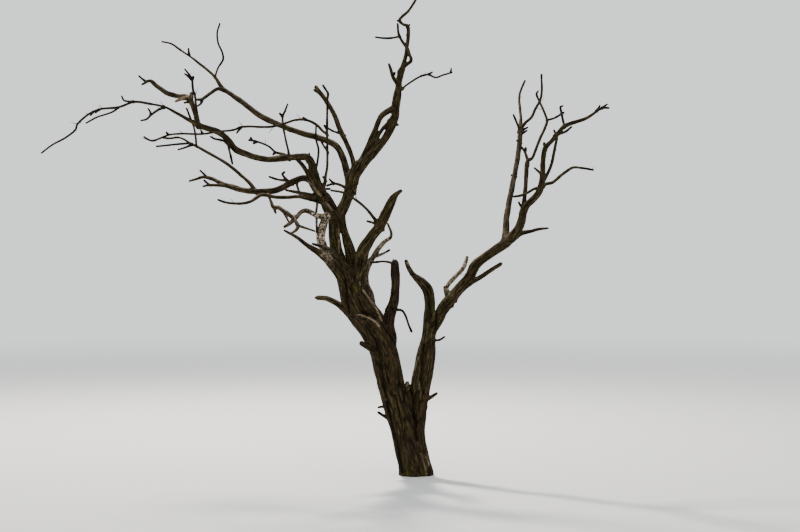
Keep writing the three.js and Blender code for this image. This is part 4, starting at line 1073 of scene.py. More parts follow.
def on_limb(limb, across, up):
    """The source's ring that lies nearest to a place on the sheet, and the limb's depth there."""
    sheet, depth = limb.sheet[::FINER], limb.depth[::FINER]
    run = sheet[1:] - sheet[:-1]
    place = np.array((across, up)) * MM
    share = np.clip(((place - sheet[:-1]) * run).sum(1) / np.maximum((run * run).sum(1), 1e-12), 0, 1)
    apart = np.linalg.norm(sheet[:-1] + run * share[:, None] - place, axis=1)
    ring = int(np.argmin(apart))
    return ring, depth[ring] + (depth[ring + 1] - depth[ring]) * share[ring]


def grow():
    """Every limb of the table with its shoots, from its parent's rings."""
    grown = {}
    for name, row in LIMBS.items():
        start = row["way"][0]
        depth = on_limb(grown[row["on"]].limb, *start[:2])[1] if "on" in row else row["depth"] * MM
        limb = lay_out(row["way"], depth, row["lean"])
        shoots = []
        for shoot in row.get("shoots", []):
            bearer = shoots[shoot["off"]] if "off" in shoot else None
            ring, depth = on_limb(bearer.limb if bearer else limb, *shoot["way"][0][:2])
            root = bearer.root if bearer else ring
            depth -= shoot.get("near", 0) * MM
            shoots.append(SimpleNamespace(root=root, limb=lay_out(shoot["way"], depth, [shoot["lean"]])))
        grown[name] = SimpleNamespace(row=row, limb=limb, shoots=shoots)
    return grown


def rings_of(limb, rings):
    """A stretch of a limb, given as a slice of its rings."""
    return SimpleNamespace(**{key: value[rings] for key, value in vars(limb).items()})


def sprig(stretch, ring, turn, length, thickest):
    """The source's sprig: it leaves its twig sideways and bends up."""
    centre, radius, along = stretch.centre[ring], stretch.radius[ring], stretch.along[ring]
    outwards = stretch.side[ring] * math.cos(turn) + stretch.over[ring] * math.sin(turn)
    share = np.linspace(0, 1, SPRIG_RINGS)[:, None]
    rise = np.array((0, 0, length * SPRIG_RISE)) * share**2
    centres = centre + (outwards + along * SPRIG_ALONG) * length * share + rise
    thick = min(thickest, radius * SPRIG_SHARE)
    return limb_of(centres, thick / 2 * (1 - share[:, 0] * SPRIG_TAPER), along)


def clear_of(others, limb, own, space):
    """Whether a small limb keeps a space from every other limb."""
    tried = slice(SPRIG_CHECKED, None, SPRIG_CHECKED)
    for other in others:
        if other is own:
            continue
        apart = np.linalg.norm(limb.centre[tried, None] - other.centre[None, ::FINER], axis=2)
        if (apart - limb.radius[tried, None] - other.radius[None, ::FINER]).min() < space:
            return False
    return True


def sprigs_on(stretch, own, seed, everything):
    """The source's sprigs on a stretch of twig, apart from those that would come too near another limb."""
    random = seeded(seed)
    every = round(SPRIG_SPACING / RING_STEP)
    found = []
    for i in range(every, len(stretch.centre) // FINER, every):
        away = math.pi if (i * GOLDEN_ANGLE) % math.pi > math.pi / 2 else 0
        turn = away + (next(random) - 0.5) * SPRIG_SPREAD
        length = SPRIG_SHORTEST + (SPRIG_LONGEST - SPRIG_SHORTEST) * next(random) ** 2
        one = sprig(stretch, i * FINER, turn, length, SPRIG_THICK)
        if clear_of(everything, one, own, SPRIG_CLEAR):
            found.append(one)
    return found


def twiglets_on(limb, own, random, everything):
    """Finer twigs by the same rule, shorter and closer together, each a golden angle on from the last."""
    found = []
    turn = random.uniform(0, math.tau)
    place = TWIGLET_SPACING * random.uniform(*TWIGLET_START)
    while place < limb.run[-1]:
        length = TWIGLET_SHORTEST + (TWIGLET_LONGEST - TWIGLET_SHORTEST) * random.uniform(0, 1) ** 2
        one = sprig(limb, int(np.searchsorted(limb.run, place)), turn, length, TWIGLET_THICK)
        if clear_of(everything, one, own, TWIGLET_CLEAR):
            found.append(one)
        turn += GOLDEN_ANGLE
        place += TWIGLET_SPACING * random.uniform(*TWIGLET_GAPS)
    return found


def ribs():
    """The ribs of the foot, which run up into the trunk."""
    random = seeded(RIB_SEED)
    found = []
    for i in range(RIB_COUNT):
        angle = (i + RIB_UNEVEN * next(random)) / RIB_COUNT * math.tau
        height = np.linspace(*RIB_REACH, RIB_RINGS)
        share = np.maximum(height, 0)
        spread = RIB_SPREAD * (1 - RIB_GATHER * np.sqrt(share))
        x = np.cos(angle) * spread + FOOT_LEAN * share
        centres = np.stack([x, np.sin(angle) * spread, RIB_HEIGHT * height], axis=-1)
        found.append(limb_of(centres + FOOT, RIB_THICK / 2 * (1 - RIB_TAPER * share), (1, 0, 0)))
    return found


def bumpy(limb, seed, amount):
    """The limb with the small bends and swellings that its smooth line leaves out."""
    fade = smoothstep(0, WOBBLE_FREE, limb.run)[:, None] * amount
    length = WOBBLE_LENGTH[0] + WOBBLE_LENGTH[1] * limb.radius.mean()
    step = np.stack([limb.run / length, np.full_like(limb.run, seed), np.zeros_like(limb.run)], axis=-1)
    stray = limb.side * noise(step, SEED.aside)[:, None] + limb.over * noise(step, SEED.over)[:, None]
    finer = noise(step * (SWELL_FINER, 1, 1), SEED.finer_swelling)
    changed = dict(vars(limb))
    changed["centre"] = limb.centre + stray * limb.radius[:, None] * fade * WOBBLE
    changed["radius"] = limb.radius * (1 + SWELL * noise(step, SEED.swelling) + SWELL / 2 * finer)
    return SimpleNamespace(**changed)


def tube(limb, sides, every=1):
    """The points and faces of a closed tube round a limb, with a rounded tip."""
    keep = np.unique(np.append(np.arange(0, len(limb.centre), every), len(limb.centre) - 1))
    centre, side, over, radius = limb.centre[keep], limb.side[keep], limb.over[keep], limb.radius[keep]
    tip = centre[-1] + limb.along[-1] * radius[-1] * TIP_REACH
    centre = np.vstack([centre, tip])
    side, over = (np.vstack([rows, rows[-1:]]) for rows in (side, over))
    radius = np.append(radius, radius[-1] * TIP_WIDTH)
    angle = np.linspace(0, math.tau, sides, endpoint=False)
    out = side[:, None] * np.cos(angle)[:, None] + over[:, None] * np.sin(angle)[:, None]
    points = (centre[:, None] + out * radius[:, None, None]).reshape(-1, 3)
    points = np.vstack([points, centre[:1], tip + limb.along[-1] * radius[-1] * TIP_POINT])
    row = np.arange(len(centre) - 1)[:, None] * sides
    here, beside = np.arange(sides), (np.arange(sides) + 1) % sides
    quads = np.stack([row + here, row + beside, row + beside + sides, row + here + sides], axis=-1)
    root, end = len(points) - 2, len(points) - 1
    last = (len(centre) - 1) * sides
    faces = quads.reshape(-1, 4).tolist()
    faces += [(root, b, a) for a, b in zip(here.tolist(), beside.tolist())]
    faces += [(end, last + a, last + b) for a, b in zip(here.tolist(), beside.tolist())]
    return points, faces


def joined(parts):
    """One list of points and one of faces from several."""
    points = np.vstack([some for some, _ in parts])
    faces, start = [], 0
    for some, corners in parts:
        faces += [tuple(i + start for i in face) for face in corners]
        start += len(some)
    return points, faces


def new_object(name, data):
    made = bpy.data.objects.new(name, data)
    bpy.context.scene.collection.objects.link(made)
    return made


def new_piece(name, points, faces):
    """A new object with a smooth-shaded mesh."""
    mesh = bpy.data.meshes.new(name)
    mesh.from_pydata(points.tolist(), [], faces)
    mesh.polygons.foreach_set("use_smooth", [True] * len(mesh.polygons))
    return new_object(name, mesh)


def values_of(data, name, width):
    """What each element of a mesh says for a name, a row for each."""
    values = np.empty(len(data) * width, np.float32)
    data.foreach_get(name, values)
    return values.reshape(-1, width).astype(float)


def places_and_normals(mesh):
    return values_of(mesh.vertices, "co", 3), values_of(mesh.vertex_normals, "vector", 3)


def move_points(mesh, points):
    mesh.vertices.foreach_set("co", points.astype(np.float32).ravel())
    mesh.update()


def nearest(limb, points):
    """For each point, the nearest place on a limb's line, in rings, and how far the point is past the tip."""
    centres = limb.centre[::NEAREST_EVERY]
    found = np.empty(len(points))
    past = np.zeros(len(points))
    for start in range(0, len(points), AT_ONCE):
        batch = slice(start, start + AT_ONCE)
        some = points[batch]
        ring = ((some[:, None] - centres[None]) ** 2).sum(-1).argmin(1)
        best = np.full(len(some), np.inf)
        place = np.zeros(len(some))
        for first in (ring - 1, ring):
            a = np.clip(first, 0, len(centres) - 2)
            run = centres[a + 1] - centres[a]
            share = ((some - centres[a]) * run).sum(1) / (run * run).sum(1)
            inside = np.clip(share, 0, 1)
            apart = np.linalg.norm(centres[a] + run * inside[:, None] - some, axis=1)
            closer = apart < best
            best = np.where(closer, apart, best)
            place = np.where(closer, (a + inside) * NEAREST_EVERY, place)
        found[batch] = place
        end = place >= NEAREST_EVERY * (len(centres) - 1) - END_SLACK
        past[batch] = np.where(end, (some - centres[-1]) @ limb.along[-1], 0)
    return np.minimum(found, len(limb.centre) - 1), past


def between(rows, place):
    """The rows at places between whole ones."""
    low = np.minimum(place.astype(int), len(rows) - 2)
    share = place - low
    share = share[:, None] if rows.ndim > 1 else share
    return rows[low] * (1 - share) + rows[low + 1] * share


def bark(limb, run, round_about, radius):
    """How far the bark stands out beyond the radius, and how far into a furrow it lies, from 0 to 1, which
    sets the painted shade there.
    """
    lengthwise = run / (limb.thick * FLUTE_LENGTH)
    flutes = noise(np.column_stack([round_about * FLUTES_ROUND, lengthwise]), limb.number)
    surface = round_about * radius[:, None]
    lump = max(limb.thick * LUMP_SIZE, SMALLEST_LUMP)
    lumps = noise(np.column_stack([surface, run * LUMP_STRETCH]) / lump, limb.number + SEED.lumps)
    spacing = min(max(FURROW_SPACING * limb.thick, CLOSEST_FURROWS), WIDEST_FURROWS)
    ground = np.column_stack([surface / spacing, run / (spacing * FURROW_LENGTH)])
    ground += FURROW_BEND * noise(ground * FURROW_BEND_SCALE, limb.number + SEED.bends)[:, None]
    line = np.abs(noise(ground, limb.number + SEED.furrows))
    depth = min(FURROW_DEPTH * limb.thick, DEEPEST_FURROW) * (FURROW_UNEVEN[0] + FURROW_UNEVEN[1] * lumps)
    furrow = 1 - smoothstep(0.0, FURROW_WIDE, line)
    stands_out = limb.thick * (FLUTES * flutes + LUMPS * lumps) + depth * (PLATE_RISE - furrow)
    return stands_out, 1 - smoothstep(0.0, FURROW_SHADE_START, line)


def wood_at(points, limbs):
    """How far each point is out of the wood, its limb, its place in the limb's grain, its looks and piece."""
    count = len(points)
    distance, closest = np.ones(count), np.ones(count)
    owner, grain, furrow, ended = np.zeros(count, int), np.zeros((count, 3)), np.zeros(count), np.zeros(count)
    looks, weight = np.zeros((count, len(LOOK_NAMES))), np.full(count, 1e-9)
    piece, plain = np.zeros(count, int), np.ones(count)
    for number, limb in enumerate(limbs):
        reach = limb.radius.max() + NEAR_WOOD
        inside = np.all((points > limb.centre.min(0) - reach) & (points < limb.centre.max(0) + reach), axis=1)
        near = np.flatnonzero(inside)
        if not len(near):
            continue
        place, past = nearest(limb, points[near])
        away = points[near] - between(limb.centre, place)
        across = np.column_stack([(away * between(rows, place)).sum(1) for rows in (limb.side, limb.over)])
        out = np.linalg.norm(across, axis=1)
        radius, run = between(limb.radius, place), between(limb.run, place)
        round_about = across / np.maximum(out, 1e-6)[:, None]
        # How far into a furrow each point lies, which sets the painted shade there.
        stands_out, furrow_shade = bark(limb, run, round_about, radius)
        smooth = np.where(past > 0, np.linalg.norm(away, axis=1), out) - radius
        mine = smooth - stands_out
        blend = np.minimum(radius * FILLET, WIDEST_FILLET)
        both = np.maximum(blend - np.abs(distance[near] - mine), 0) / blend
        distance[near] = np.minimum(distance[near], mine) - both * both * blend / 4
        behind = np.where(place > 0, 0, -away @ limb.along[0])
        reached = smooth + np.maximum(behind, 0)
        share = np.exp(-np.maximum(reached, 0) / LOOK_FADE)
        looks[near] += share[:, None] * limb.looks
        weight[near] += share
        first = reached < plain[near]
        plain[near[first]], piece[near[first]] = reached[first], PIECES.index(limb.piece)
        first = mine < closest[near]
        chosen = near[first]
        closest[chosen] = mine[first]
        owner[chosen] = number
        grain[chosen] = np.column_stack([across, run])[first]
        furrow[chosen] = furrow_shade[first]
        ended[chosen] = (past / radius if limb.broken else past * 0)[first]
    return SimpleNamespace(
        distance=distance, owner=owner, grain=grain, furrow=furrow, ended=ended, piece=piece,
        looks=looks / weight[:, None],
    )


def splinters(limb):
    """The splinters of a broken end, each a short limb of its own."""
    random = np.random.default_rng(limb.number)
    centre, along, radius = limb.centre[-1], limb.along[-1], limb.radius[-1]
    share = np.linspace(0, 1, SPLINTER_RINGS)[:, None]
    found = []
    for _ in range(SPLINTERS):
        angle = random.uniform(0, math.tau)
        out = limb.side[-1] * math.cos(angle) + limb.over[-1] * math.sin(angle)
        root = centre + out * radius * random.uniform(*SPLINTER_PLACES) - along * radius * SPLINTER_SUNK
        length = along * radius * random.uniform(*SPLINTER_LENGTHS)
        tip = root + length + out * radius * random.uniform(*SPLINTER_SPREAD)
        thick = radius * (SPLINTER_THICK - SPLINTER_TAPER * share[:, 0])
        found.append(limb_of(root + (tip - root) * share, thick, out))
    return found


def ridge(bearers, way, out):
    """A ridge on the front of its bearers, which stands out by one amount at its root and one at its end."""
    line, length = smooth_line(np.array(way, float) * MM)
    run = np.linspace(0, length[-1], FINER * max(2, round(length[-1] / RING_STEP)) + 1)
    across, up, thick = (np.interp(run, length, line[:, k]) for k in range(3))
    front = np.full(len(run), np.inf)
    for limb in bearers:
        apart = np.linalg.norm(limb.sheet[None] - np.stack([across, up], axis=-1)[:, None], axis=2)
        ring, apart = apart.argmin(1), apart.min(1)
        inside = limb.radius[ring] ** 2 - apart**2
        nearer = np.minimum(front, limb.depth[ring] - np.sqrt(np.maximum(inside, 0)))
        front = np.where(inside > 0, nearer, front)
    known = np.isfinite(front)
    front = np.interp(run, run[known], front[known])
    depth = front + thick / 2 - np.linspace(out[0], out[1], len(run)) * MM
    return limb_of(at(across, up, depth), thick / 2)


def piece_for(limb):
    """The piece that a limb belongs to: by its bark, or by the first branch among itself and its bearers."""
    if SLOTS[limb.bark] != "algae_bark":
        return next(name for name, slot in SLOT_OF.items() if slot == SLOTS[limb.bark])
    name = limb.name
    while name not in BRANCHES and "on" in LIMBS[name]:
        name = LIMBS[name]["on"]
    return BRANCHES.get(name, "left_boughs")


def described(part, number, name, broken):
    """A stretch of thick wood that knows its number, its limb's name, bark and looks, and its piece."""
    part.number, part.name, part.bark, part.broken = number, name, LIMBS[name]["bark"], broken
    part.thick, part.looks = float(np.median(part.radius)), np.array(LOOKS.get(name, USUAL_LOOK))
    part.piece = piece_for(part)
    return part


def plan(grown):
    """The thick stretches of wood, and the thin tubes that stand for each node."""
    everything = []
    for one in grown.values():
        everything += [one.limb, *(shoot.limb for shoot in one.shoots)]
    wood, thin, nodes = [], {}, []

    def settle(limb, name, node, broken=False, sunk=0.0):
        """Parts a limb in the stretch that joins the wood and the thin tube beyond it."""
        number = len(wood) + 1
        limb = bumpy(limb, number, 0 if name in ("left", "right") else 1)
        thick = np.flatnonzero(limb.radius >= THIN)
        end = thick[-1] if len(thick) > 2 else 0
        last = len(limb.centre) - 1
        if end:
            part = rings_of(limb, slice(end + 1))
            if end < last:
                near_end = smoothstep(part.radius[-1] * 2, 0, part.run[-1] - part.run)
                part.radius = part.radius * (1 - WOOD_NARROWED * near_end)
            wood.append(described(part, number, name, broken))
        if end < last:
            first = max(end - round(TUBE_SUNK / RING_STEP * FINER), 0) if end else 0
            part = rings_of(limb, slice(first, None))
            part.run = part.run - part.run[0]
            part.radius = part.radius + THIN_GAIN
            if end:
                part.radius = part.radius * (1 - TUBE_NARROWED * smoothstep(TUBE_SUNK, 0, part.run))
            else:
                collar = np.exp(-np.maximum(part.run - sunk, 0) / (COLLAR_LENGTH * part.radius[0]))
                part.radius = part.radius * (1 + COLLAR * collar)
            thin.setdefault(node if node.startswith("twigs_") else "boughs", []).append(part)

    for row in RIDGES:
        part = ridge([grown[bearer].limb for bearer in row["on"]], row["way"], row["out"])
        wood.append(described(part, len(wood) + 1, row["on"][0], False))
    for name, one in grown.items():
        row, whole = one.row, (len(one.limb.centre) - 1) // FINER
        starts = [(node, on_limb(one.limb, *row["way"][station][:2])[0] if station else 0)
                  for node, station in row["parts"].items()]
        ends = [first for _, first in starts[1:]] + [whole]
        settle(one.limb, name, starts[-1][0], row.get("broken", False))
        for (node, first), last in zip(starts, ends):
            for shoot in one.shoots:
                if first <= shoot.root and (shoot.root < last or last == whole):
                    settle(shoot.limb, name, node, False, one.limb.radius[shoot.root * FINER])
            if node.startswith("twigs_"):
                stretch = rings_of(one.limb, slice(first * FINER, last * FINER + 1))
                thin.setdefault(node, []).extend(sprigs_on(stretch, one.limb, len(nodes), everything))
            if node not in nodes:
                nodes.append(node)
    return wood, thin, everything


def nearest_limb(place, limbs):
    """The limb whose line comes nearest to a place."""
    return min(limbs, key=lambda limb: np.linalg.norm(limb.centre - place, axis=1).min())


def add_twiglets(thin, everything):
    """Carries each mass of twigs on to finer ones."""
    random = np.random.default_rng(SEED.twiglets)
    for name, limbs in thin.items():
        if name.startswith("twigs_"):
            for limb in list(limbs):
                own = nearest_limb(limb.centre[0], everything)
                limbs.extend(twiglets_on(limb, own, random, everything))


def union(wood, feet):
    """The union of all thick limbs, laid on the surface of their bark."""
    parts = [tube(limb, WOOD_SIDES, every=2) for limb in wood]
    parts += [tube(rib, RIB_SIDES) for rib in feet]
    parts += [tube(one, SPLINTER_SIDES) for limb in wood if limb.broken for one in splinters(limb)]
    rough = new_piece("rough", *joined(parts))
    modifier = rough.modifiers.new("Union", "REMESH")
    modifier.mode = "VOXEL"
    modifier.voxel_size = VOXEL
    graph = bpy.context.evaluated_depsgraph_get()
    mesh = bpy.data.meshes.new_from_object(rough.evaluated_get(graph), depsgraph=graph)
    bpy.data.objects.remove(rough)
    points = values_of(mesh.vertices, "co", 3)
    for _ in range(PASSES):
        found = wood_at(points, wood)
        normals = values_of(mesh.vertex_normals, "vector", 3)
        free = 1 - smoothstep(*BREAK_FREE, found.ended)
        points = points - normals * np.clip(found.distance * free, -LONGEST_MOVE, LONGEST_MOVE)[:, None]
        move_points(mesh, points)
    return mesh


def knots_on(wood):
    """The places and sizes of the knots that are strewn over the thicker limbs."""
    random = np.random.default_rng(SEED.knots)
    found = []
    for limb in wood:
        for _ in range(int(limb.run[-1] / KNOT_SPACING) if limb.thick > KNOTTY else 0):
            ring = random.integers(len(limb.run) // KNOT_FREE, len(limb.run))
            angle = random.uniform(0, math.tau)
            out = limb.side[ring] * math.cos(angle) + limb.over[ring] * math.sin(angle)
            size = limb.radius[ring] * random.uniform(*KNOT_SIZES) + SMALLEST_KNOT
            found.append((limb.centre[ring] + out * limb.radius[ring], size))
    return found


def apart_from(way, places):
    """How far each place on the sheet is from a line of points."""
    way = np.array(way, float)
    found = np.full(len(places), np.inf)
    for start, end in zip(way, way[1:]):
        run = end - start
        share = np.clip((places - start) @ run / (run @ run), 0, 1)
        found = np.minimum(found, np.linalg.norm(places - start - share[:, None] * run, axis=1))
    return found


def marked(points, normals, names, knots):
    """How far the marks and knots lift the wood at each point, how pale they make it, and how much painted
    shade they put in their cuts and knot holes.
    """
    seen = on_sheet(points) / MM
    uneven = 1 + MARK_UNEVEN * noise(points / MARK_GRAIN, SEED.marks)
    facing = smoothstep(*MARK_FACING, -normals[:, 1])
    rise, pale, dark = np.zeros(len(points)), np.zeros(len(points)), np.zeros(len(points))
    for mark in MARKS:
        near = np.flatnonzero(np.isin(names, mark["on"]))
        apart = apart_from(mark["way"], seen[near]) / mark["wide"] / uneven[near]
        share = np.exp(-(apart**2)) * facing[near]
        rise[near] += share * mark["rise"] * MM
        pale[near] = np.maximum(pale[near], share * mark["pale"])
        # A cut-in mark is darkened with painted shade.
        if mark["rise"] < 0:
            dark[near] = np.maximum(dark[near], share)
    middle, wide = KNOT_COLLAR
    for place, size in knots:
        near = np.flatnonzero(np.abs(points - place).max(axis=1) < size * KNOT_REACH)
        apart = np.linalg.norm(points[near] - place, axis=1) / size
        collar, hole = np.exp(-((apart - middle) / wide) ** 2), np.exp(-((apart / KNOT_HOLE) ** 2))
        rise[near] += size * (KNOT_RISE * collar - KNOT_DEPTH * hole)
        # A knot's hole is darkened with painted shade.
        dark[near] = np.maximum(dark[near], hole)
    return rise, pale, dark


def cut_at_ground(mesh):
    """Cuts the trunk flat at the ground and closes the cut."""
    work = bmesh.new()
    work.from_mesh(mesh)
    everything = [*work.verts, *work.edges, *work.faces]
    ground = dict(plane_co=(0, 0, 0), plane_no=(0, 0, 1))
    made = bmesh.ops.bisect_plane(work, geom=everything, clear_inner=True, **ground)
    edges = [item for item in made["geom_cut"] if isinstance(item, bmesh.types.BMEdge)]
    bmesh.ops.triangle_fill(work, edges=edges, use_beauty=True, normal=(0, 0, -1))
    work.to_mesh(mesh)
    work.free()


def looks_of(points, normals, names, found, pale, dark):
    """The numbers from 0 to 1 that the materials read at each point."""
    coarse, fine = noise(points / COARSE_SPOTS, SEED.coarse), noise(points / FINE_SPOTS, SEED.fine)
    looks = dict(zip(LOOK_NAMES, found.looks.T))
    by_fine, by_coarse = FACING_UP_UNEVEN
    # Upward faces are paler: bleached wood, and painted sunlight.
    upwards = smoothstep(*FACING_UP, normals[:, 2] + by_fine * fine + by_coarse * coarse)
    looks["bleached"] = np.clip(looks["bleached"] * upwards + pale, 0, 1)
    looks["olive"] = np.clip(looks["olive"] * (OLIVE_SPREAD[0] + OLIVE_SPREAD[1] * coarse), 0, 1)
    looks["crusted"] = np.clip(looks["crusted"] * (CRUST_SPREAD[0] + CRUST_SPREAD[1] * fine), 0, 1)
    shaded = smoothstep(*SHADED, normals[:, 0] + normals[:, 2])
    cover = smoothstep(*MOSS_COVER, noise(points / MOSS_SPOTS, SEED.moss) + MOSS_UNEVEN * fine)
    looks["mossy"] = cover * shaded * MOST_MOSS
    seen = on_sheet(points) / MM
    facing = smoothstep(*PATCH_FACING, -normals[:, 1])
    for patch in PATCHES:
        share = np.zeros(len(points))
        for across, up, half in patch["spots"]:
            apart = np.linalg.norm(seen - (across, up), axis=1) / half
            share = np.maximum(share, smoothstep(*PATCH_EDGE, apart + PATCH_UNEVEN * fine))
        share = share * facing * np.isin(names, patch["on"]) * patch["share"]
        looks[patch["look"]] = np.maximum(looks[patch["look"]], share)
    # Painted shade in the furrows, the cut-in marks and the knot holes.
    looks["furrow"] = np.maximum(found.furrow, dark)
    return looks


def settled(piece, mesh):
    """Each point's piece, once it has gone with most of its neighbours, so that no small islands are left."""
    edges = values_of(mesh.edges, "vertices", 2).astype(int)
    for _ in range(BORDER_PASSES):
        own = np.eye(len(PIECES))[piece]
        votes = own.copy()
        for one, other in ((0, 1), (1, 0)):
            for index in range(len(PIECES)):
                votes[:, index] += np.bincount(edges[:, one], own[edges[:, other], index], len(piece))
        piece = votes.argmax(1)
    return piece


def write_looks(mesh, grain, looks):
    """Writes what the materials read at each point into the mesh."""
    for name, values in looks.items():
        mesh.attributes.new(name, "FLOAT", "POINT").data.foreach_set("value", values.astype(np.float32))
    streaks = mesh.attributes.new("grain", "FLOAT_VECTOR", "POINT")
    streaks.data.foreach_set("vector", grain.astype(np.float32).ravel())


def faces_of(mesh):
    """The corners of all faces in one row, where each face starts in it, and how many corners it has."""
    sizes = np.empty(len(mesh.polygons), int)
    mesh.polygons.foreach_get("loop_total", sizes)
    corners = np.empty(len(mesh.loops), int)
    mesh.loops.foreach_get("vertex_index", corners)
    return corners, np.cumsum(sizes) - sizes, sizes


def wood_pieces(wood, feet):
    """The union, split where one finish meets another."""
    mesh = union(wood, feet)
    names = np.array([limb.name for limb in wood])
    knots = knots_on(wood)
    points, normals = places_and_normals(mesh)
    owner = wood_at(points, wood).owner
    rise, _, _ = marked(points, normals, names[owner], knots)
    move_points(mesh, points + normals * rise[:, None])
    cut_at_ground(mesh)
    points, normals = places_and_normals(mesh)
    found = wood_at(points, wood)
    _, pale, dark = marked(points, normals, names[found.owner], knots)
    looks = looks_of(points, normals, names[found.owner], found, pale, dark)
    corners, starts, sizes = faces_of(mesh)
    face_piece = settled(found.piece, mesh)[corners[starts]]
    grain = found.grain + found.owner[:, None] * GRAIN_SHIFT
    made = []
    for index, name in enumerate(PIECES):
        mine = face_piece == index
        faces = [corners[start:start + size] for start, size in zip(starts[mine], sizes[mine])]
        used = np.unique(np.concatenate(faces))
        renumbered = np.zeros(len(points), int)
        renumbered[used] = np.arange(len(used))
        piece = new_piece(name, points[used], [tuple(renumbered[face].tolist()) for face in faces])
        write_looks(piece.data, grain[used], {key: values[used] for key, values in looks.items()})
        piece.data.normals_split_custom_set_from_vertices(normals[used].tolist())
        made.append(piece)
    bpy.data.meshes.remove(mesh)
    return made


def twig_piece(name, limbs, seed):
    """One mass of twigs as one piece, each tube with one of the twig finishes."""
    random = np.random.default_rng(seed)
    parts, shade = [], []
    for limb in limbs:
        points, faces = tube(limb, next(sides for least, sides in TUBE_SIDES if limb.radius.max() > least))
        parts.append((points, faces))
        shade += [int(random.integers(TWIG_SHADES))] * len(faces)
    piece = new_piece(name, *joined(parts))
    piece.data.polygons.foreach_set("material_index", shade)
    return piece


def connect(tree, socket, value):
    """Gives an input a number or a colour, or joins another node's output to it."""
    if isinstance(value, bpy.types.NodeSocket):
        tree.links.new(value, socket)
    else:
        socket.default_value = value


def node(tree, kind, settings=None, **inputs):
    """A new shader node with its settings, and its inputs by name or, as in _0, by number."""
    made = tree.nodes.new("ShaderNode" + kind)
    for name, value in (settings or {}).items():
        setattr(made, name, value)
    for name, value in inputs.items():
        connect(tree, made.inputs[int(name[1:]) if name[1:].isdigit() else name.replace("_", " ")], value)
    return made


def mixed(tree, share, one, other):
    """A colour that goes from one to the other with a share."""
    made = node(tree, "Mix", {"data_type": "RGBA"})
    for name, value in (("Factor", share), ("A", one), ("B", other)):
        connect(tree, next(s for s in made.inputs if s.name == name and s.enabled), value)
    return next(s for s in made.outputs if s.enabled)


def ramp(tree, value, places, tones):
    """A colour that goes through the tones, each at its place among the values."""
    made = node(tree, "ValToRGB", Fac=value)
    elements = made.color_ramp.elements
    elements[0].position, elements[1].position = places[0], places[-1]
    for place in places[1:-1]:
        elements.new(place)
    for element, tone in zip(elements, tones):
        element.color = tone
    return made.outputs["Color"]


def within(tree, value, low, high, most=1.0):
    """A share that grows from 0 to most as a value goes from low to high."""
    return node(tree, "MapRange", Value=value, From_Min=low, From_Max=high, To_Max=most).outputs["Result"]


def times(tree, one, other):
    return node(tree, "Math", {"operation": "MULTIPLY"}, _0=one, _1=other).outputs["Value"]


def spotted(tree, place, scale, detail, roughness):
    """A noise from 0 to 1."""
    inputs = dict(Vector=place, Scale=scale, Detail=detail, Roughness=roughness)
    return node(tree, "TexNoise", **inputs).outputs["Fac"]


def attribute(tree, name, output="Fac"):
    """What the mesh says for a name at each point."""
    return node(tree, "Attribute", {"attribute_name": name}).outputs[output]


def new_material(name):
    """A new material, its node tree and its surface."""
    material = bpy.data.materials.new(name)
    material.use_nodes = True
    return material, material.node_tree, material.node_tree.nodes["Principled BSDF"]


def finish(tree, surface, base, roughness, height, strength, distance):
    """Gives a surface its colour, its roughness and its fine bumps."""
    bump = node(tree, "Bump", Height=height, Strength=strength, Distance=distance).outputs["Normal"]
    for name, value in (("Base Color", base), ("Roughness", roughness), ("Normal", bump)):
        connect(tree, surface.inputs[name], value)
    surface.inputs["Specular IOR Level"].default_value = SHINE


def colour(tone):
    """A colour of the screen, from 0 to 255, as a linear one."""
    shares = [value / 255 for value in tone]
    return (*[((s + 0.055) / 1.055) ** 2.4 if s > 10 / 255 else s / 12.92 for s in shares], 1)


def wood_material(name):
    """Weathered wood and bark, which takes its colours from the looks written on the mesh."""
    material, tree, surface = new_material(name)
    place = node(tree, "TexCoord").outputs["Object"]
    look = {key: attribute(tree, key) for key in (*LOOK_NAMES, "mossy", "furrow")}
    grain = attribute(tree, "grain", "Vector")
    stretched = node(tree, "Mapping", Vector=grain, Scale=(1, 1, GRAIN_STRETCH)).outputs["Vector"]
    streaks = spotted(tree, stretched, scale=85, detail=6, roughness=0.68)
    fibres = spotted(tree, stretched, scale=360, detail=3, roughness=0.62)
    mottle = spotted(tree, place, scale=12, detail=5, roughness=0.62)
    spots = spotted(tree, place, scale=68, detail=3, roughness=0.55)
    tones = {key: ramp(tree, streaks, BARK_STOPS, map(colour, row)) for key, row in BARK_TONES.items()}
    crust = ramp(tree, spots, CRUST_STOPS, map(colour, CRUST_TONES))
    # Bleached bare wood with painted sunlight.
    bare_and_sunlit = ramp(tree, fibres, BARE_AND_SUNLIT_STOPS, map(colour, BARE_AND_SUNLIT_TONES))
    base = mixed(tree, look["olive"], tones["brown"], tones["olive"])
    base = mixed(tree, look["reddish"], base, tones["red"])
    base = mixed(tree, within(tree, mottle, low=0.48, high=0.72, most=0.55), base, colour(DARK_TONE))
    mossy = times(tree, look["mossy"], within(tree, spots, low=0.38, high=0.62))
    base = mixed(tree, mossy, base, tones["moss"])
    crusted = times(tree, look["crusted"], within(tree, mottle, low=0.30, high=0.46))
    base = mixed(tree, crusted, base, crust)
    # Upward faces and pale marks: bleached wood with painted sunlight.
    bleached = times(tree, look["bleached"], within(tree, streaks, low=0.34, high=0.56))
    base = mixed(tree, bleached, base, bare_and_sunlit)
    # Painted shade in the furrows, the cut-in marks and the knot holes.
    base = mixed(tree, times(tree, look["furrow"], FURROW_SHADE_COVER), base, colour(FURROW_SHADE_TONE))
    roughness = node(tree, "MapRange", Value=streaks, To_Min=1.0, To_Max=0.8).outputs["Result"]
    height = node(tree, "Math", {"operation": "MULTIPLY_ADD"}, _0=fibres, _1=FIBRE_HEIGHT, _2=streaks)
    finish(tree, surface, base, roughness, height.outputs["Value"], strength=0.8, distance=0.005)
    return material


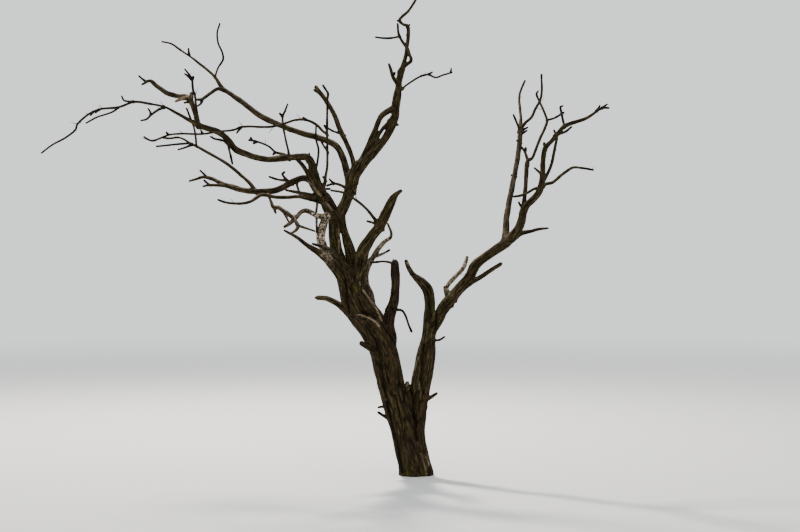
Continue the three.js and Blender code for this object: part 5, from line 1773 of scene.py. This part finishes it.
def twig_material(name, tone):
    """Thin weathered bark round one tone."""
    material, tree, surface = new_material(name)
    place = node(tree, "TexCoord").outputs["Object"]
    mottle = spotted(tree, place, scale=70, detail=4, roughness=0.62)
    tones = [(*[c * gain for c in colour(tone)[:3]], 1) for gain in TWIG_STREAKS]
    base = ramp(tree, mottle, TWIG_STOPS, tones)
    finish(tree, surface, base, TWIG_ROUGHNESS, mottle, strength=0.6, distance=0.002)
    return material


def area_light(name, place, aim, size, power, tint):
    light = bpy.data.lights.new(name, "AREA")
    light.size, light.energy, light.color = size, power, tint
    lamp = new_object(name, light)
    lamp.location = place
    lamp.rotation_euler = (Vector(aim) - Vector(place)).to_track_quat("-Z", "Y").to_euler()


def studio():
    """A soft sky, a sun high behind the tree, and a pale floor that fades into the sky far from it."""
    world = bpy.data.worlds.new("soft_sky")
    world.use_nodes = True
    sky = world.node_tree.nodes["Background"]
    sky.inputs["Color"].default_value = SKY_TINT
    sky.inputs["Strength"].default_value = SKY_STRENGTH
    bpy.context.scene.world = world
    area_light("sun", SUN_PLACE, SUN_AIM, SUN_SIZE, SUN_POWER, SUN_TINT)
    area_light("fill", FILL_PLACE, FILL_AIM, FILL_SIZE, FILL_POWER, FILL_TINT)
    mesh = bpy.data.meshes.new("floor")
    half = FLOOR_HALF
    corners = [(-half, -half, 0), (half, -half, 0), (half, half, 0), (-half, half, 0)]
    mesh.from_pydata(corners, [], [(0, 1, 2, 3)])
    floor = new_object("floor", mesh)
    material, tree, surface = new_material("floor")
    surface.inputs["Base Color"].default_value = FLOOR_COLOUR
    surface.inputs["Roughness"].default_value = FLOOR_ROUGHNESS
    place = node(tree, "TexCoord").outputs["Object"]
    away = node(tree, "VectorMath", {"operation": "LENGTH"}, Vector=place).outputs["Value"]
    start, end = FLOOR_FADE
    smooth = {"interpolation_type": "SMOOTHSTEP"}
    far = node(tree, "MapRange", smooth, Value=away, From_Min=start, From_Max=end).outputs["Result"]
    glow = node(tree, "Emission", Color=SKY_TINT, Strength=SKY_STRENGTH).outputs["Emission"]
    both = node(tree, "MixShader", _0=far, _1=surface.outputs["BSDF"], _2=glow).outputs["Shader"]
    tree.links.new(both, tree.nodes["Material Output"].inputs["Surface"])
    mesh.materials.append(material)


def camera():
    data = bpy.data.cameras.new("camera")
    data.lens, data.sensor_width = LENS_MM, SENSOR_MM
    eye = new_object("camera", data)
    eye.location = (EYE_ACROSS, -EYE_DISTANCE, EYE_HEIGHT)
    eye.rotation_euler = (math.radians(90), 0, 0)
    bpy.context.scene.camera = eye


grown = grow()
wood, thin, everything = plan(grown)
add_twiglets(thin, everything)
pieces = {piece.name: piece for piece in wood_pieces(wood, ribs())}
for name, piece in pieces.items():
    piece.data.materials.append(wood_material(SLOT_OF[name]))
    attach(piece, "root")
shades = {slot: [twig_material(f"{slot}_{number}", tone) for number, tone in enumerate(tones)]
          for slot, tones in TWIG_TONES.items()}
slot_of = {row["node"]: row["material_slot"] for row in frame["record"]["subparts"]}
for number, (name, limbs) in enumerate(thin.items()):
    piece = twig_piece(name.replace("twigs_", "") + "_twigs", limbs, number)
    slot = slot_of.get(name, "twigs")
    for shade in shades[slot]:
        piece.data.materials.append(shade)
    if name.startswith("twigs_"):
        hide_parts(name)
    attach(piece, "root")
piece_of = {node: piece_for(SimpleNamespace(bark=one.row["bark"], name=name))
            for name, one in grown.items() for node in one.row["parts"]}
for name in frame["nodes"]:
    if not name.startswith("twigs_"):
        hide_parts(name)
studio()
camera()
